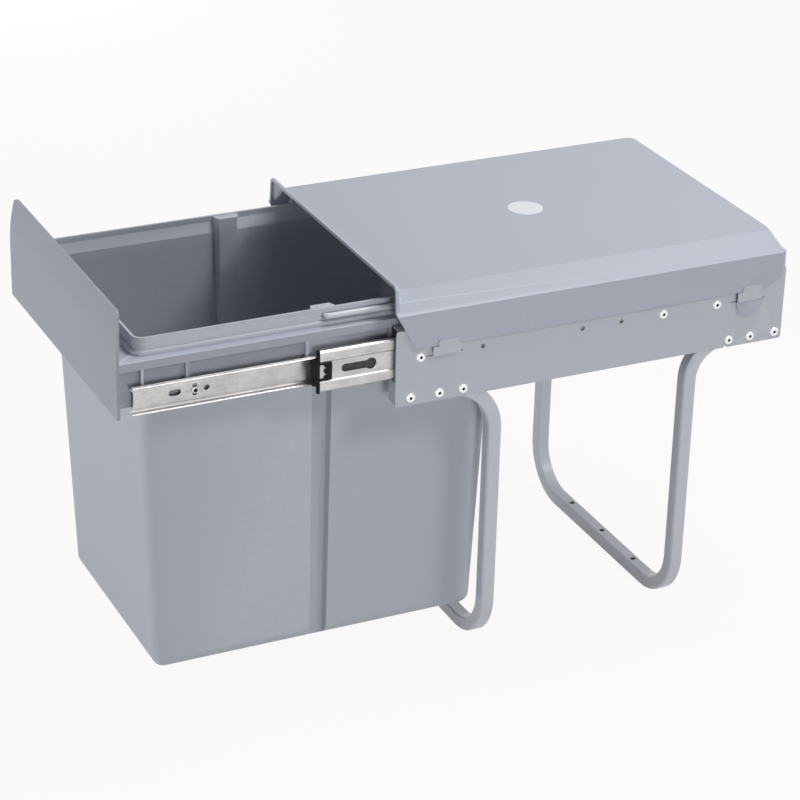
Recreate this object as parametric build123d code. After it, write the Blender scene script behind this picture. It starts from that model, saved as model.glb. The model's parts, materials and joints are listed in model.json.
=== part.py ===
from build123d import *
from math import asin, atan2, cos, degrees, radians, sin, sqrt
import os

os.makedirs("parts", exist_ok=True)

# Pull-out waste-bin unit, in millimetres. +X is the right-hand side seen from the front, -Y is the way
# the bin pulls out, +Z is up. The origin is the middle of the six floor screws, on the floor.

# ---- driving dimensions --------------------------------------------------------------------------
CLEAR = 0.1  # sliding fit between pieces of one body
RUNNING = 0.3  # gap between pieces that move past each other
QUARTER_ANGLE = 90.0  # angle of a quarter bend
BEYOND = 5.0  # how far a cutter runs past the material
SLOT_END = 0.3  # cut of a long hole's corners, as a share of its height
REPEAT_SIDES = 8  # flats of the small round things that repeat
ROUND_SIDES = 12  # flats of the larger ones and of those open to view
WIRE_SIDES = 6  # flats of shanks, of the rivets' open holes and of the handle's wire

# sheet-steel side panels
FRAME_WIDTH = 260.0
PANEL_LENGTH = 358.0
PANEL_HEIGHT = 65.7
PANEL_GAUGE = 1.2
PANEL_TOP_FOLD = 10.0
PANEL_FRONT_FOLD = 11.3
PANEL_FRONT_FOLD_HEIGHT = 21.3
PANEL_CORNER = 2.5
PANEL_HOLE_RADIUS = 2.0
PANEL_HOLE_SETBACKS = (76.4, 166.5, 202.4)
NOTCH_FROM_REAR = 54.0
NOTCH_RADIUS = 1.5

# lanced flags of the panels, which hold the cover's skirt
FLAG_SETBACK = 31.0
FLAG_FROM_REAR = 47.0
FLAG_LENGTH = 22.5
FLAG_RISE = 0.3  # above the slide's centre line
FLAG_HEIGHT = 12.8
FLAG_STEP = 4.5
FLAG_JOGGLE = 4.0
FLAG_CHAMFER = 1.5
SLIT_LENGTH = 6.0
SLIT_WIDTH = 0.8
RELIEF_RADIUS = 0.9

# bent square-tube legs
TUBE = 12.0
TUBE_WALL = 1.2
TUBE_CORNER = 1.2
LEG_HEIGHT = 251.2  # floor to the centre line of the upper run
LEG_SPACING = 182.0
FRONT_LEG_SETBACK = 91.3
LEG_BEND = 43.0  # centre-line radius
REAR_TOP_BEND = 33.0
PANEL_DROP = 0.5  # panel edge below the tube
RUN_END_GAP = 1.7  # tube end behind the panel's fold
FLOOR_SCREW_PITCH = 57.0
FLOOR_SCREW_RADIUS = 2.5

# blind rivets
RIVET_HEAD_RADIUS = 4.0
RIVET_HEAD_HEIGHT = 1.3
RIVET_CROWN_RADIUS = 3.1
RIVET_RADIUS = 2.0
RIVET_BORE_RADIUS = 1.1
RIVET_BORE_DEPTH = 1.6
FRONT_RIVET_SETBACKS = (13.4, 38.7, 59.9)
REAR_RIVETS_FROM_REAR = (51.1, 30.6, 6.8)
SLIDE_RIVET_SETBACK = 21.4
SLIDE_RIVETS_FROM_REAR = (116.3, 65.3)

# three-section ball-bearing slides; u is the depth from the panel, v the height from the centre line
SLIDE_RISE = 40.8  # centre line above the panel's lower edge
SLIDE_DEPTH = 12.7
SLIDE_GAUGE = 1.2
BALL_RADIUS = 1.95
RACE_RADIUS = 2.15
OUTER_ROW = (6.0, 19.35)
INNER_ROW = (8.6, 13.1)
OUTER_CURL_ANGLE = 150.0  # where a race begins round its ball, in degrees, and how far it goes
OUTER_CURL_ANGLE_SPAN = 135.0
SADDLE_ANGLE = 240.0
SADDLE_ANGLE_SPAN = 40.0
MIDDLE_CURL_ANGLE = 115.0
MIDDLE_CURL_ANGLE_SPAN = 100.0
INNER_CURL_ANGLE = 300.0
INNER_CURL_ANGLE_SPAN = 80.0
OUTER_LENGTH = 350.0
OUTER_SETBACK = 7.0
MIDDLE_LENGTH = 330.0
MIDDLE_SETBACK = 12.0  # front end behind the panel's edge when shut
INNER_LENGTH = 342.0
INNER_SETBACK = 12.6  # front end behind the carriage's front
CAGE_LENGTH = 150.0
CAGE_GAUGE = 0.6
CAGE_GAP = 0.25
CAGE_STRIP_DROP = 0.1
OUTER_CAGE_SETBACK = 98.0
INNER_CAGE_SETBACK = 104.0
BALL_COUNT = 3
BALL_SIDES = 8
BALL_FLATS = BALL_RADIUS * sqrt(2 / 3)  # keeps the corners of the flats on the ball
BAND_WEB = 3.5  # inner surface of the middle member's raised bands
RECESS_WEB = 4.7  # inner surface of its recessed web
RECESS_HALF = 8.2
KEYHOLE_START = 18.9
KEYHOLE_LENGTH = 25.1
KEYHOLE_WIDTH = 6.4
KEYHOLE_RADIUS = 4.7
INNER_SLOT_START = 30.8
INNER_SLOT_LENGTH = 9.8
INNER_SLOT_WIDTH = 5.2
INNER_HOLE_START = 61.8
INNER_HOLE_RADIUS = 2.25
INNER_NOTCH = 2.0
INNER_NOTCH_HALF = 7.6
INNER_NOTCH_SLANT = 1.5
BUMPER_WALL = 2.1
BUMPER_NOSE = 6.0
BUMPER_DEPTH = 3.2
BUMPER_HALF = 18.3
BUMPER_NOSE_HALF = 11.4
BUMPER_CORNER = 4.5
BUMPER_SLOT = 1.2
BUMPER_SLOT_HALF = 7.0
CLIP_START = 3.7
CLIP_WIDTH = 4.6
CLIP_LOBE_COUNT = 3
CLIP_LOBE_RADIUS = 2.0
CLIP_ARM = 1.2

# how far the unit stands open, and its carriage
MIDDLE_OPEN = 75.5
INNER_OPEN = 150.5
CARRIAGE_LENGTH = 343.6
CARRIAGE_HEIGHT = 38.5
CARRIAGE_RISE = 30.5  # top above the slide's centre line
CARRIAGE_GAP = 2.6  # front plate to panel when shut
RING_SIDE = 11.9
RING_FRONT = 22.6
RING_REAR = 11.0
RING_EDGE = 1.5  # cut of the outer upright edges
RING_WALL = 2.5
RING_TOP = 3.0
BAND_HEIGHT = 7.2
BAND_PROUD = 3.0
RIB_WIDTH = 2.5
RIB_STARTS = (22.6, 59.2, 158.6, 230.0, 318.0)
FRONT_WEB_COUNT = 3
SCREW_STARTS = (64.6, 230.0, 318.0)
SCREW_SLOT_HEIGHT = 10.0
SCREW_RADIUS = 1.75
SCREW_HEAD_RADIUS = 3.8
SCREW_HEAD_HEIGHT = 1.9
SCREW_CROWN_RADIUS = 2.8
SCREW_LENGTH = 8.0
BOSS_WALL = 2.2

# front plate
PLATE_WIDTH = 258.0
PLATE_HEIGHT = 87.6
PLATE_WALL = 2.3
PLATE_DROP = 9.7  # lower edge below the slide's centre line
PLATE_STRAIGHT = 50.0
PLATE_TAPER = 4.6
PLATE_CORNER = 7.0
PLATE_FOOT_CORNER = 2.0
PLATE_LEAN = 3.3  # of the top edge, towards the bin
PLATE_BOSS_RADIUS = 4.0
PLATE_SCREWS = (-72.0, -24.0, 24.0, 72.0)
PLATE_SCREW_DROP = 12.0  # below the carriage's top
PLATE_SCREW_RADIUS = 1.5
PLATE_SCREW_HEAD = 5.6
PLATE_SCREW_BITE = 1.2

# bin
BIN_CLEAR = 1.2
BIN_WALL = 2.0
BIN_FLOOR = 29.4  # underside above the ground
BIN_TAPER_X = 3.8
BIN_TAPER_Y = 12.2
BIN_CORNER = 9.0
BIN_FOOT = 10.0  # rounding of the outer edges round the floor
RIM_HEIGHT = 14.0
RIM_STEP = 2.9
RIM_SLOPE = 9.0  # height over which the mouth widens inside
BEAD_OUT = 2.4
BEAD_HEIGHT = 4.0
BEAD_EDGE = 1.2
CHANNEL_WIDTH = 17.6
CHANNEL_DEPTH = 5.4
CHANNEL_DRAFT = 2.0  # narrowing of each half on the way in
CHANNEL_DROP = 0.8  # top of the channel's boss below the rim

# bail handle
BAIL_RADIUS = 2.5
BAIL_GAP = 0.35
BAIL_DROP = 6.0  # pivot below the rim's top
BAIL_PIN = 9.8
BAIL_PIN_BEND = 2.8
BAIL_BEND = 9.0

# cover
LID_WALL = 2.0
LID_OVER_RIM = 7.7
LID_OVERHANG = 0.1
TOP_INSET = 14.7  # crease of the flat top inside the skirt
TOP_REAR_INSET = 10.4
BEVEL_INSET = 2.5
BEVEL_REAR_INSET = 2.2
LEDGE_RISE = 13.4  # ledge above the panels
LEDGE_SLOPE = 1.8
REAR_WALL_GAP = 1.6
SKIRT_DROP = 16.6  # skirt edge below the panel's top
SKIRT_FRONT_RUN = 16.4
SKIRT_KNEE_RUN = 5.5
SKIRT_KNEE_DROP = 10.0
SKIRT_REAR_RISE = 10.2
SKIRT_REAR_RUN = 20.0
LID_CORNER = 6.0
LIP_RISE = 7.8
LIP_CREST = 2.2
LIP_RUN = 9.0
LIP_SPREAD = 9.6
LIP_CORNER = 3.0
LIP_MID_RUN = 4.6
LIP_MID_RISE = 2.3
TONGUE_RADIUS = 13.0
TONGUE_NECK = 17.0
LID_RIB_COUNT = 4
LID_RIB_WALL = 2.0
LID_RIB_REACH = 7.0
LABEL_RADIUS = 15.0
LABEL_THICKNESS = 0.3
LABEL_SIDES = 36

# ---- places worked out from them -------------------------------------------------------------------
PANEL_OUTER = FRAME_WIDTH / 2
PANEL_INNER = PANEL_OUTER - PANEL_GAUGE
PANEL_FRONT = -(FRONT_LEG_SETBACK + LEG_SPACING / 2)
PANEL_REAR = PANEL_FRONT + PANEL_LENGTH
PANEL_BOTTOM = LEG_HEIGHT - TUBE / 2 - PANEL_DROP
PANEL_TOP = PANEL_BOTTOM + PANEL_HEIGHT
TUBE_X = PANEL_INNER - TUBE / 2
SLIDE_Z = PANEL_BOTTOM + SLIDE_RISE

CARRIAGE_X = PANEL_INNER - SLIDE_DEPTH
CARRIAGE_FRONT = PANEL_FRONT - CARRIAGE_GAP - MIDDLE_OPEN - INNER_OPEN
CARRIAGE_REAR = CARRIAGE_FRONT + CARRIAGE_LENGTH
CARRIAGE_TOP = SLIDE_Z + CARRIAGE_RISE
CARRIAGE_BOTTOM = CARRIAGE_TOP - CARRIAGE_HEIGHT
RECESS_X = CARRIAGE_X - BAND_PROUD
MIDDLE_FRONT = PANEL_FRONT + MIDDLE_SETBACK - MIDDLE_OPEN
INNER_FRONT = CARRIAGE_FRONT + INNER_SETBACK

HOLE_X = CARRIAGE_X - RING_SIDE
HOLE_FRONT = CARRIAGE_FRONT + RING_FRONT
HOLE_REAR = CARRIAGE_REAR - RING_REAR
BIN_Y = (HOLE_FRONT + HOLE_REAR) / 2
RING_CORNER = BIN_CORNER + BIN_CLEAR
BIN_HALF_X = HOLE_X - BIN_CLEAR
BIN_HALF_Y = (HOLE_REAR - HOLE_FRONT) / 2 - BIN_CLEAR
RIM_HALF_X = BIN_HALF_X + RIM_STEP
RIM_HALF_Y = BIN_HALF_Y + RIM_STEP
RIM_TOP = CARRIAGE_TOP + RIM_HEIGHT
PIVOT_Z = RIM_TOP - BAIL_DROP
PLATE_SCREW_Z = CARRIAGE_TOP - PLATE_SCREW_DROP

LID_TOP = RIM_TOP + LID_OVER_RIM + LID_WALL
LID_HALF = PANEL_OUTER + LID_WALL
LID_REAR = PANEL_REAR + LID_OVERHANG
LEDGE_Z = PANEL_TOP + LEDGE_RISE
SKIRT_Z = PANEL_TOP - SKIRT_DROP
FLAG_Z = SLIDE_Z + FLAG_RISE
FLAG_STARTS = (PANEL_FRONT + FLAG_SETBACK, PANEL_REAR - FLAG_FROM_REAR)


# ---- small helpers ---------------------------------------------------------------------------------
def block(x, y, z):
    """Box between three (low, high) pairs."""
    sizes = [high - low for low, high in (x, y, z)]
    middle = [(high + low) / 2 for low, high in (x, y, z)]
    return Pos(*middle) * Box(*sizes)


def around(middle, half):
    """Low and high of a span about its middle."""
    return (middle - half, middle + half)


def joined(pieces):
    """One shape fused from a list of touching ones."""
    return Part() + pieces


def group(shapes):
    """Separate solids kept as one node."""
    return Compound([solid for shape in shapes for solid in shape.solids()])


def rod(start, end, radius):
    """Round bar between two points."""
    along = Vector(*end) - Vector(*start)
    return extrude(Plane(origin=start, z_dir=along) * Circle(radius), amount=along.length)


def bar(start, end, radius, sides=REPEAT_SIDES):
    """Many-sided bar between two points, for what repeats often; its flats lie outside the radius."""
    along = Vector(*end) - Vector(*start)
    outline = RegularPolygon(radius, sides, major_radius=False)
    return extrude(Plane(origin=start, z_dir=along) * outline, amount=along.length)


def through_x(x, y, z, radius, sides=REPEAT_SIDES):
    """Cutter of a small hole through a wall that faces X."""
    return bar((x[0], y, z), (x[1], y, z), radius, sides)


def slot(x, start, end, z, height):
    """Cutter of a long hole along Y, with its ends cut back to a half round, through a wall that faces X."""
    long = block(x, (start, end), around(z, height / 2))
    return chamfer(long.edges().filter_by(Axis.X), height * SLOT_END)


def evenly(start, end, count):
    """Count places from start to end, both included."""
    return [start + (end - start) * i / (count - 1) for i in range(count)]


def mirrored(shape):
    """The same piece for the left-hand side."""
    return mirror(shape, about=Plane.YZ)


def both_sides(shapes):
    """A group of separate solids with their mirror images."""
    return group([*shapes, *(mirrored(shape) for shape in shapes)])


# ---- legs ------------------------------------------------------------------------------------------
def tube_section(origin, along):
    """Section of the square tube across a direction."""
    bore = TUBE - 2 * TUBE_WALL
    outside = chamfer(Rectangle(TUBE, TUBE).vertices(), TUBE_CORNER)
    return Plane(origin=origin, z_dir=along) * (outside - Rectangle(bore, bore))


def bent(section, route, bends):
    """Section drawn along a square-cornered route, with a quarter bend of its own radius at each corner."""
    points = [Vector(*point) for point in route]
    pieces = []
    start = points[0]
    for corner, after, bend in zip(points[1:-1], points[2:], bends):
        along = (corner - start).normalized()
        turn = (after - corner).normalized()
        bend_start = corner - along * bend
        pieces.append(extrude(section(start, along), amount=(bend_start - start).length))
        axis = Axis(bend_start + turn * bend, along.cross(turn))
        pieces.append(revolve(section(bend_start, along), axis, QUARTER_ANGLE))
        start = corner + turn * bend
    last = points[-1] - start
    pieces.append(extrude(section(start, last.normalized()), amount=last.length))
    return joined(pieces)


def leg(y, run_end, top_bend, rivet_places):
    """One U-shaped leg, with upper runs inside the panels, rivet holes and floor-screw holes."""
    low = TUBE / 2
    right = [(TUBE_X, run_end, LEG_HEIGHT), (TUBE_X, y, LEG_HEIGHT), (TUBE_X, y, low)]
    left = [(-x, at, z) for x, at, z in reversed(right)]
    tube = bent(tube_section, right + left, [top_bend, LEG_BEND, LEG_BEND, top_bend])
    for x in (-FLOOR_SCREW_PITCH, 0, FLOOR_SCREW_PITCH):
        tube -= rod((x, y, -BEYOND), (x, y, TUBE + BEYOND), FLOOR_SCREW_RADIUS)
    for at in rivet_places:
        for side in (-1, 1):
            start = (side * (PANEL_INNER - TUBE / 2), at, LEG_HEIGHT)
            tube -= bar(start, (side * PANEL_OUTER, at, LEG_HEIGHT), RIVET_RADIUS + CLEAR)
    return tube


# ---- side panels -----------------------------------------------------------------------------------
def flag(start):
    """Strap lanced from the panel and set out over the cover's skirt, held at its rear edge."""
    near = PANEL_OUTER + LID_WALL + CLEAR
    far = near + PANEL_GAUGE
    end = start + FLAG_LENGTH
    top = FLAG_Z + FLAG_HEIGHT
    step_z = SKIRT_Z - RUNNING
    points = [
        (start, FLAG_Z),
        (end, FLAG_Z),
        (end, top),
        (start + FLAG_STEP + FLAG_CHAMFER, top),
        (start + FLAG_STEP, top - FLAG_CHAMFER),
        (start + FLAG_STEP, step_z),
        (start, step_z),
    ]
    face = Plane.YZ.offset(near) * make_face(Polyline(*points, close=True))
    strap = extrude(face, amount=PANEL_GAUGE)
    joggle = [(near, end), (far, end), (PANEL_OUTER, end + FLAG_JOGGLE), (PANEL_INNER, end + FLAG_JOGGLE)]
    ramp = extrude(Plane.XY.offset(FLAG_Z) * make_face(Polyline(*joggle, close=True)), amount=step_z - FLAG_Z)
    return strap + ramp


def side_panel():
    """Right-hand panel: folded sheet with flags, slits, rivet holes and plain holes."""
    across = (PANEL_INNER - BEYOND, PANEL_OUTER + BEYOND)
    sheet = block((PANEL_INNER, PANEL_OUTER), (PANEL_FRONT, PANEL_REAR), (PANEL_BOTTOM, PANEL_TOP))
    sheet = fillet(sheet.edges().filter_by(Axis.X), PANEL_CORNER)
    fold_ends = (PANEL_FRONT + PANEL_CORNER, PANEL_REAR - PANEL_CORNER)
    fold_depth = (PANEL_INNER - PANEL_TOP_FOLD, PANEL_INNER)
    top_fold = block(fold_depth, fold_ends, (PANEL_TOP - PANEL_GAUGE, PANEL_TOP))
    front_low = PANEL_BOTTOM + PANEL_CORNER
    front_fold = block(
        (PANEL_INNER - PANEL_FRONT_FOLD, PANEL_INNER),
        (PANEL_FRONT, PANEL_FRONT + PANEL_GAUGE),
        (front_low, PANEL_BOTTOM + PANEL_FRONT_FOLD_HEIGHT),
    )
    sheet = joined([sheet, top_fold, front_fold])
    for start in FLAG_STARTS:
        end = start + FLAG_LENGTH + FLAG_JOGGLE
        sheet -= block(across, (start, end), (FLAG_Z - SLIT_WIDTH, SKIRT_Z - RUNNING))
        sheet -= block(across, (start + FLAG_STEP, end - FLAG_JOGGLE), (FLAG_Z, FLAG_Z + FLAG_HEIGHT))
        sheet -= block(across, (start - SLIT_LENGTH, start), (FLAG_Z - SLIT_WIDTH, FLAG_Z))
        relief = FLAG_Z - SLIT_WIDTH / 2
        sheet -= through_x(across, end, relief, RELIEF_RADIUS)
        sheet = joined([sheet, flag(start)])
    for setback in PANEL_HOLE_SETBACKS:
        sheet -= through_x(across, PANEL_FRONT + setback, SLIDE_Z, PANEL_HOLE_RADIUS, ROUND_SIDES)
    for y, z in rivet_places():
        sheet -= through_x(across, y, z, RIVET_RADIUS + CLEAR)
    sheet -= through_x(across, PANEL_REAR - NOTCH_FROM_REAR, PANEL_BOTTOM, NOTCH_RADIUS)
    return sheet


# ---- rivets ----------------------------------------------------------------------------------------
def front_rivet_places():
    """Rivets through a panel and the front leg's upper run."""
    return [PANEL_FRONT + setback for setback in FRONT_RIVET_SETBACKS]


def rear_rivet_places():
    """Rivets through a panel and the rear leg's upper run."""
    return [PANEL_REAR - setback for setback in REAR_RIVETS_FROM_REAR]


def leg_rivet_places():
    """All rivets through one panel and its legs."""
    return front_rivet_places() + rear_rivet_places()


def slide_rivet_places():
    """Rivets through panel and outer slide member."""
    return [PANEL_FRONT + SLIDE_RIVET_SETBACK, *(PANEL_REAR - setback for setback in SLIDE_RIVETS_FROM_REAR)]


def rivet_places():
    """All rivets of one panel, as (y, z)."""
    low = [(y, LEG_HEIGHT) for y in leg_rivet_places()]
    return low + [(y, SLIDE_Z) for y in slide_rivet_places()]


def rivet(y, z, grip):
    """Blind rivet with a crowned head on the panel and an open mandrel hole."""
    def ring(x, radius, sides=REPEAT_SIDES):
        outline = RegularPolygon(radius, sides)
        return Plane(origin=(x, y, z), x_dir=(0, 1, 0), z_dir=(1, 0, 0)) * outline

    crown = PANEL_OUTER + RIVET_HEAD_HEIGHT
    head = loft([ring(PANEL_OUTER, RIVET_HEAD_RADIUS), ring(crown, RIVET_CROWN_RADIUS)], ruled=True)
    shank = extrude(ring(PANEL_OUTER, RIVET_RADIUS, WIRE_SIDES), amount=-grip)
    bore = extrude(ring(crown, RIVET_BORE_RADIUS, WIRE_SIDES), amount=-RIVET_BORE_DEPTH)
    return head + shank - bore


# ---- slides ----------------------------------------------------------------------------------------
def slide_plane(y):
    """Profile plane of the right slide: x runs inward from the panel, y up from the slide's centre."""
    return Plane(origin=(PANEL_INNER, y, SLIDE_Z), x_dir=(-1, 0, 0), z_dir=(0, 1, 0))


def on_race(row, radius, angle):
    """Point of a circle about a ball row's centre."""
    return (row[0] + radius * cos(radians(angle)), row[1] + radius * sin(radians(angle)))


def rolled(half_path):
    """Rolled sheet profile: half of one surface, from the middle outwards, mirrored and thickened."""
    half = Curve() + half_path
    other = mirror(half, about=Plane.XZ)
    path = Wire([*half.edges(), *other.edges()])
    return Face(path.offset_2d(SLIDE_GAUGE, side=Side.LEFT))


def outer_profile():
    """Channel whose folded edges curl round the outer ball rows."""
    web = SLIDE_GAUGE
    bend = SLIDE_GAUGE
    race = on_race(OUTER_ROW, RACE_RADIUS, OUTER_CURL_ANGLE)
    return rolled([
        Line((web, 0), (web, race[1] - bend)),
        RadiusArc((web, race[1] - bend), (web + bend, race[1]), -bend),
        Line((web + bend, race[1]), race),
        CenterArc(OUTER_ROW, RACE_RADIUS, OUTER_CURL_ANGLE, -OUTER_CURL_ANGLE_SPAN),
    ])


def middle_profile():
    """Stepped web whose edges run between the two ball rows, a race on each side."""
    step = RECESS_WEB - BAND_WEB
    under = on_race(OUTER_ROW, RACE_RADIUS + SLIDE_GAUGE, SADDLE_ANGLE)
    leave = on_race(OUTER_ROW, RACE_RADIUS + SLIDE_GAUGE, SADDLE_ANGLE + SADDLE_ANGLE_SPAN)
    meet = on_race(INNER_ROW, RACE_RADIUS, MIDDLE_CURL_ANGLE)
    shoulder = under[1] - (under[0] - BAND_WEB)
    return rolled([
        Line((RECESS_WEB, 0), (RECESS_WEB, RECESS_HALF)),
        Line((RECESS_WEB, RECESS_HALF), (BAND_WEB, RECESS_HALF + step)),
        Line((BAND_WEB, RECESS_HALF + step), (BAND_WEB, shoulder)),
        RadiusArc((BAND_WEB, shoulder), under, -SLIDE_GAUGE),
        CenterArc(OUTER_ROW, RACE_RADIUS + SLIDE_GAUGE, SADDLE_ANGLE, SADDLE_ANGLE_SPAN),
        Line(leave, meet),
        CenterArc(INNER_ROW, RACE_RADIUS, MIDDLE_CURL_ANGLE, -MIDDLE_CURL_ANGLE_SPAN),
    ])


def inner_profile():
    """Channel whose edges are the races under the inner ball rows."""
    race = on_race(INNER_ROW, RACE_RADIUS, INNER_CURL_ANGLE)
    bend = SLIDE_GAUGE + CAGE_GAP
    return rolled([
        Line((SLIDE_DEPTH, 0), (SLIDE_DEPTH, race[1] - bend)),
        RadiusArc((SLIDE_DEPTH, race[1] - bend), (SLIDE_DEPTH - bend, race[1]), bend),
        Line((SLIDE_DEPTH - bend, race[1]), race),
        CenterArc(INNER_ROW, RACE_RADIUS, INNER_CURL_ANGLE, -INNER_CURL_ANGLE_SPAN),
    ])


def member(profile, start, length):
    """A slide member: its profile drawn out along Y."""
    return extrude(slide_plane(start) * profile, amount=length)


def web_span():
    """X range of a cutter through any slide member's web."""
    return (CARRIAGE_X - BEYOND, PANEL_INNER + BEYOND)


def slide_outer():
    """Outer member, riveted to the panel."""
    start = PANEL_FRONT + OUTER_SETBACK
    rail = member(outer_profile(), start, OUTER_LENGTH)
    web = (PANEL_INNER - 2 * SLIDE_GAUGE, PANEL_OUTER)
    for y in slide_rivet_places():
        rail -= through_x(web, y, SLIDE_Z, RIVET_RADIUS + CLEAR)
    for setback in PANEL_HOLE_SETBACKS:
        rail -= through_x(web, PANEL_FRONT + setback, SLIDE_Z, PANEL_HOLE_RADIUS)
    return rail


def slide_middle():
    """Middle member with its keyhole slot."""
    rail = member(middle_profile(), MIDDLE_FRONT, MIDDLE_LENGTH)
    start = MIDDLE_FRONT + KEYHOLE_START
    end = start + KEYHOLE_LENGTH
    rail -= slot(web_span(), start, end + KEYHOLE_WIDTH / 2, SLIDE_Z, KEYHOLE_WIDTH)
    rail -= through_x(web_span(), end, SLIDE_Z, KEYHOLE_RADIUS, ROUND_SIDES)
    return rail


def slide_inner():
    """Inner member with a notched front end, a slot, a hole and its screw holes."""
    rail = member(inner_profile(), INNER_FRONT, INNER_LENGTH)
    span = web_span()
    notch = block(span, (INNER_FRONT - BEYOND, INNER_FRONT + INNER_NOTCH), around(SLIDE_Z, INNER_NOTCH_HALF))
    rail -= chamfer(notch.edges().filter_by(Axis.X).group_by(Axis.Y)[-1], INNER_NOTCH_SLANT)
    start = INNER_FRONT + INNER_SLOT_START
    rail -= slot(span, start, start + INNER_SLOT_LENGTH, SLIDE_Z, INNER_SLOT_WIDTH)
    rail -= through_x(span, INNER_FRONT + INNER_HOLE_START, SLIDE_Z, INNER_HOLE_RADIUS, ROUND_SIDES)
    first, *others = screw_places()
    tall = block(span, around(first, SCREW_RADIUS + CLEAR), around(SLIDE_Z, SCREW_SLOT_HEIGHT / 2))
    rail -= chamfer(tall.edges().filter_by(Axis.X), SCREW_RADIUS / 2)
    for y in others:
        rail -= through_x(span, y, SLIDE_Z, SCREW_RADIUS + CLEAR)
    return rail


def slide_bumper():
    """Black end stop on the middle member's front end, with a wavy clip in the web's recess."""
    back = PANEL_INNER - (BAND_WEB - SLIDE_GAUGE)
    depth = (back - BUMPER_DEPTH, back)
    nose_end = MIDDLE_FRONT - BUMPER_WALL
    wall = block(depth, (nose_end, MIDDLE_FRONT), around(SLIDE_Z, BUMPER_HALF))
    nose = block(depth, (nose_end - BUMPER_NOSE, nose_end), around(SLIDE_Z, BUMPER_NOSE_HALF))
    nose = fillet(nose.edges().filter_by(Axis.X).group_by(Axis.Y)[0], BUMPER_CORNER)
    gap = around(nose_end - BUMPER_NOSE / 2, BUMPER_SLOT / 2)
    nose -= block(web_span(), gap, around(SLIDE_Z, BUMPER_SLOT_HALF))
    layer = (PANEL_INNER - (RECESS_WEB - SLIDE_GAUGE), back)
    half = RECESS_HALF - SLIDE_GAUGE / 2 - RUNNING
    front = MIDDLE_FRONT + CLIP_START + CLIP_LOBE_RADIUS
    clip = [block(layer, (front, front + CLIP_WIDTH), around(SLIDE_Z, half))]
    for z in evenly(SLIDE_Z - half + CLIP_LOBE_RADIUS, SLIDE_Z + half - CLIP_LOBE_RADIUS, CLIP_LOBE_COUNT):
        clip.append(bar((layer[0], front, z), (layer[1], front, z), CLIP_LOBE_RADIUS))
    for side in (-1, 1):
        arm = around(SLIDE_Z + side * (half - CLIP_ARM / 2), CLIP_ARM / 2)
        clip.append(block(layer, (MIDDLE_FRONT, front), arm))
    return joined([wall, nose, *clip])


def screw_places():
    """Screws that fix an inner member to the carriage."""
    return [CARRIAGE_FRONT + start for start in SCREW_STARTS]


def slide_screw(y):
    """Pan-head screw through the inner member's web into the carriage's boss."""
    def ring(x, radius):
        outline = RegularPolygon(radius, REPEAT_SIDES)
        return Plane(origin=(x, y, SLIDE_Z), x_dir=(0, 1, 0), z_dir=(1, 0, 0)) * outline

    web = CARRIAGE_X + SLIDE_GAUGE
    crown = web + SCREW_HEAD_HEIGHT
    head = loft([ring(web, SCREW_HEAD_RADIUS), ring(crown, SCREW_CROWN_RADIUS)], ruled=True)
    return head + extrude(ring(web, SCREW_RADIUS), amount=-SCREW_LENGTH)


# ---- ball cages ------------------------------------------------------------------------------------
def ball_places(start):
    """Ball positions along one row of a cage."""
    end_gap = CAGE_LENGTH / BALL_COUNT / 2
    return evenly(start + end_gap, start + CAGE_LENGTH - end_gap, BALL_COUNT)


def cage(row, web, strip_drop, start):
    """Thin steel cage: a web and two strips with a hole round every ball."""
    reach = row[0] + BALL_RADIUS + 2 * CAGE_GAUGE
    strip = row[1] - strip_drop
    body = Rectangle(CAGE_GAUGE, 2 * strip, align=(Align.MIN, Align.CENTER))
    section = Pos(web, 0) * body
    for side in (-1, 1):
        ledge = Rectangle(reach - web, CAGE_GAUGE, align=(Align.MIN, Align.CENTER))
        section += Pos(web, side * (strip - CAGE_GAUGE / 2)) * ledge
    holder = extrude(slide_plane(start) * section, amount=CAGE_LENGTH)
    x = PANEL_INNER - row[0]
    for y in ball_places(start):
        for side in (-1, 1):
            low = SLIDE_Z + side * (strip - 2 * CAGE_GAUGE)
            high = SLIDE_Z + side * (strip + CAGE_GAUGE)
            holder -= bar((x, y, low), (x, y, high), BALL_RADIUS + CLEAR)
    return holder


def faceted_ball():
    """Steel ball as the 26 flats that three crossing eight-sided bars have in common."""
    outline = RegularPolygon(BALL_FLATS, BALL_SIDES, major_radius=False)
    upright = extrude(outline, amount=BALL_RADIUS, both=True)
    bars = [plane * upright for plane in (Plane.XY, Plane.YZ, Plane.XZ)]
    return bars[0] & bars[1] & bars[2]


def balls(row, start):
    """Both ball rows of one cage, as separate solids."""
    places = [(y, side * row[1]) for y in ball_places(start) for side in (-1, 1)]
    gem = faceted_ball()
    return group([Pos(PANEL_INNER - row[0], y, SLIDE_Z + v) * gem for y, v in places])


# ---- carriage --------------------------------------------------------------------------------------
def ring_face(grow):
    """Opening of the carriage ring, grown by a margin."""
    width = 2 * (HOLE_X + grow)
    length = HOLE_REAR - HOLE_FRONT + 2 * grow
    return Pos(0, BIN_Y) * RectangleRounded(width, length, RING_CORNER + grow)


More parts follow.
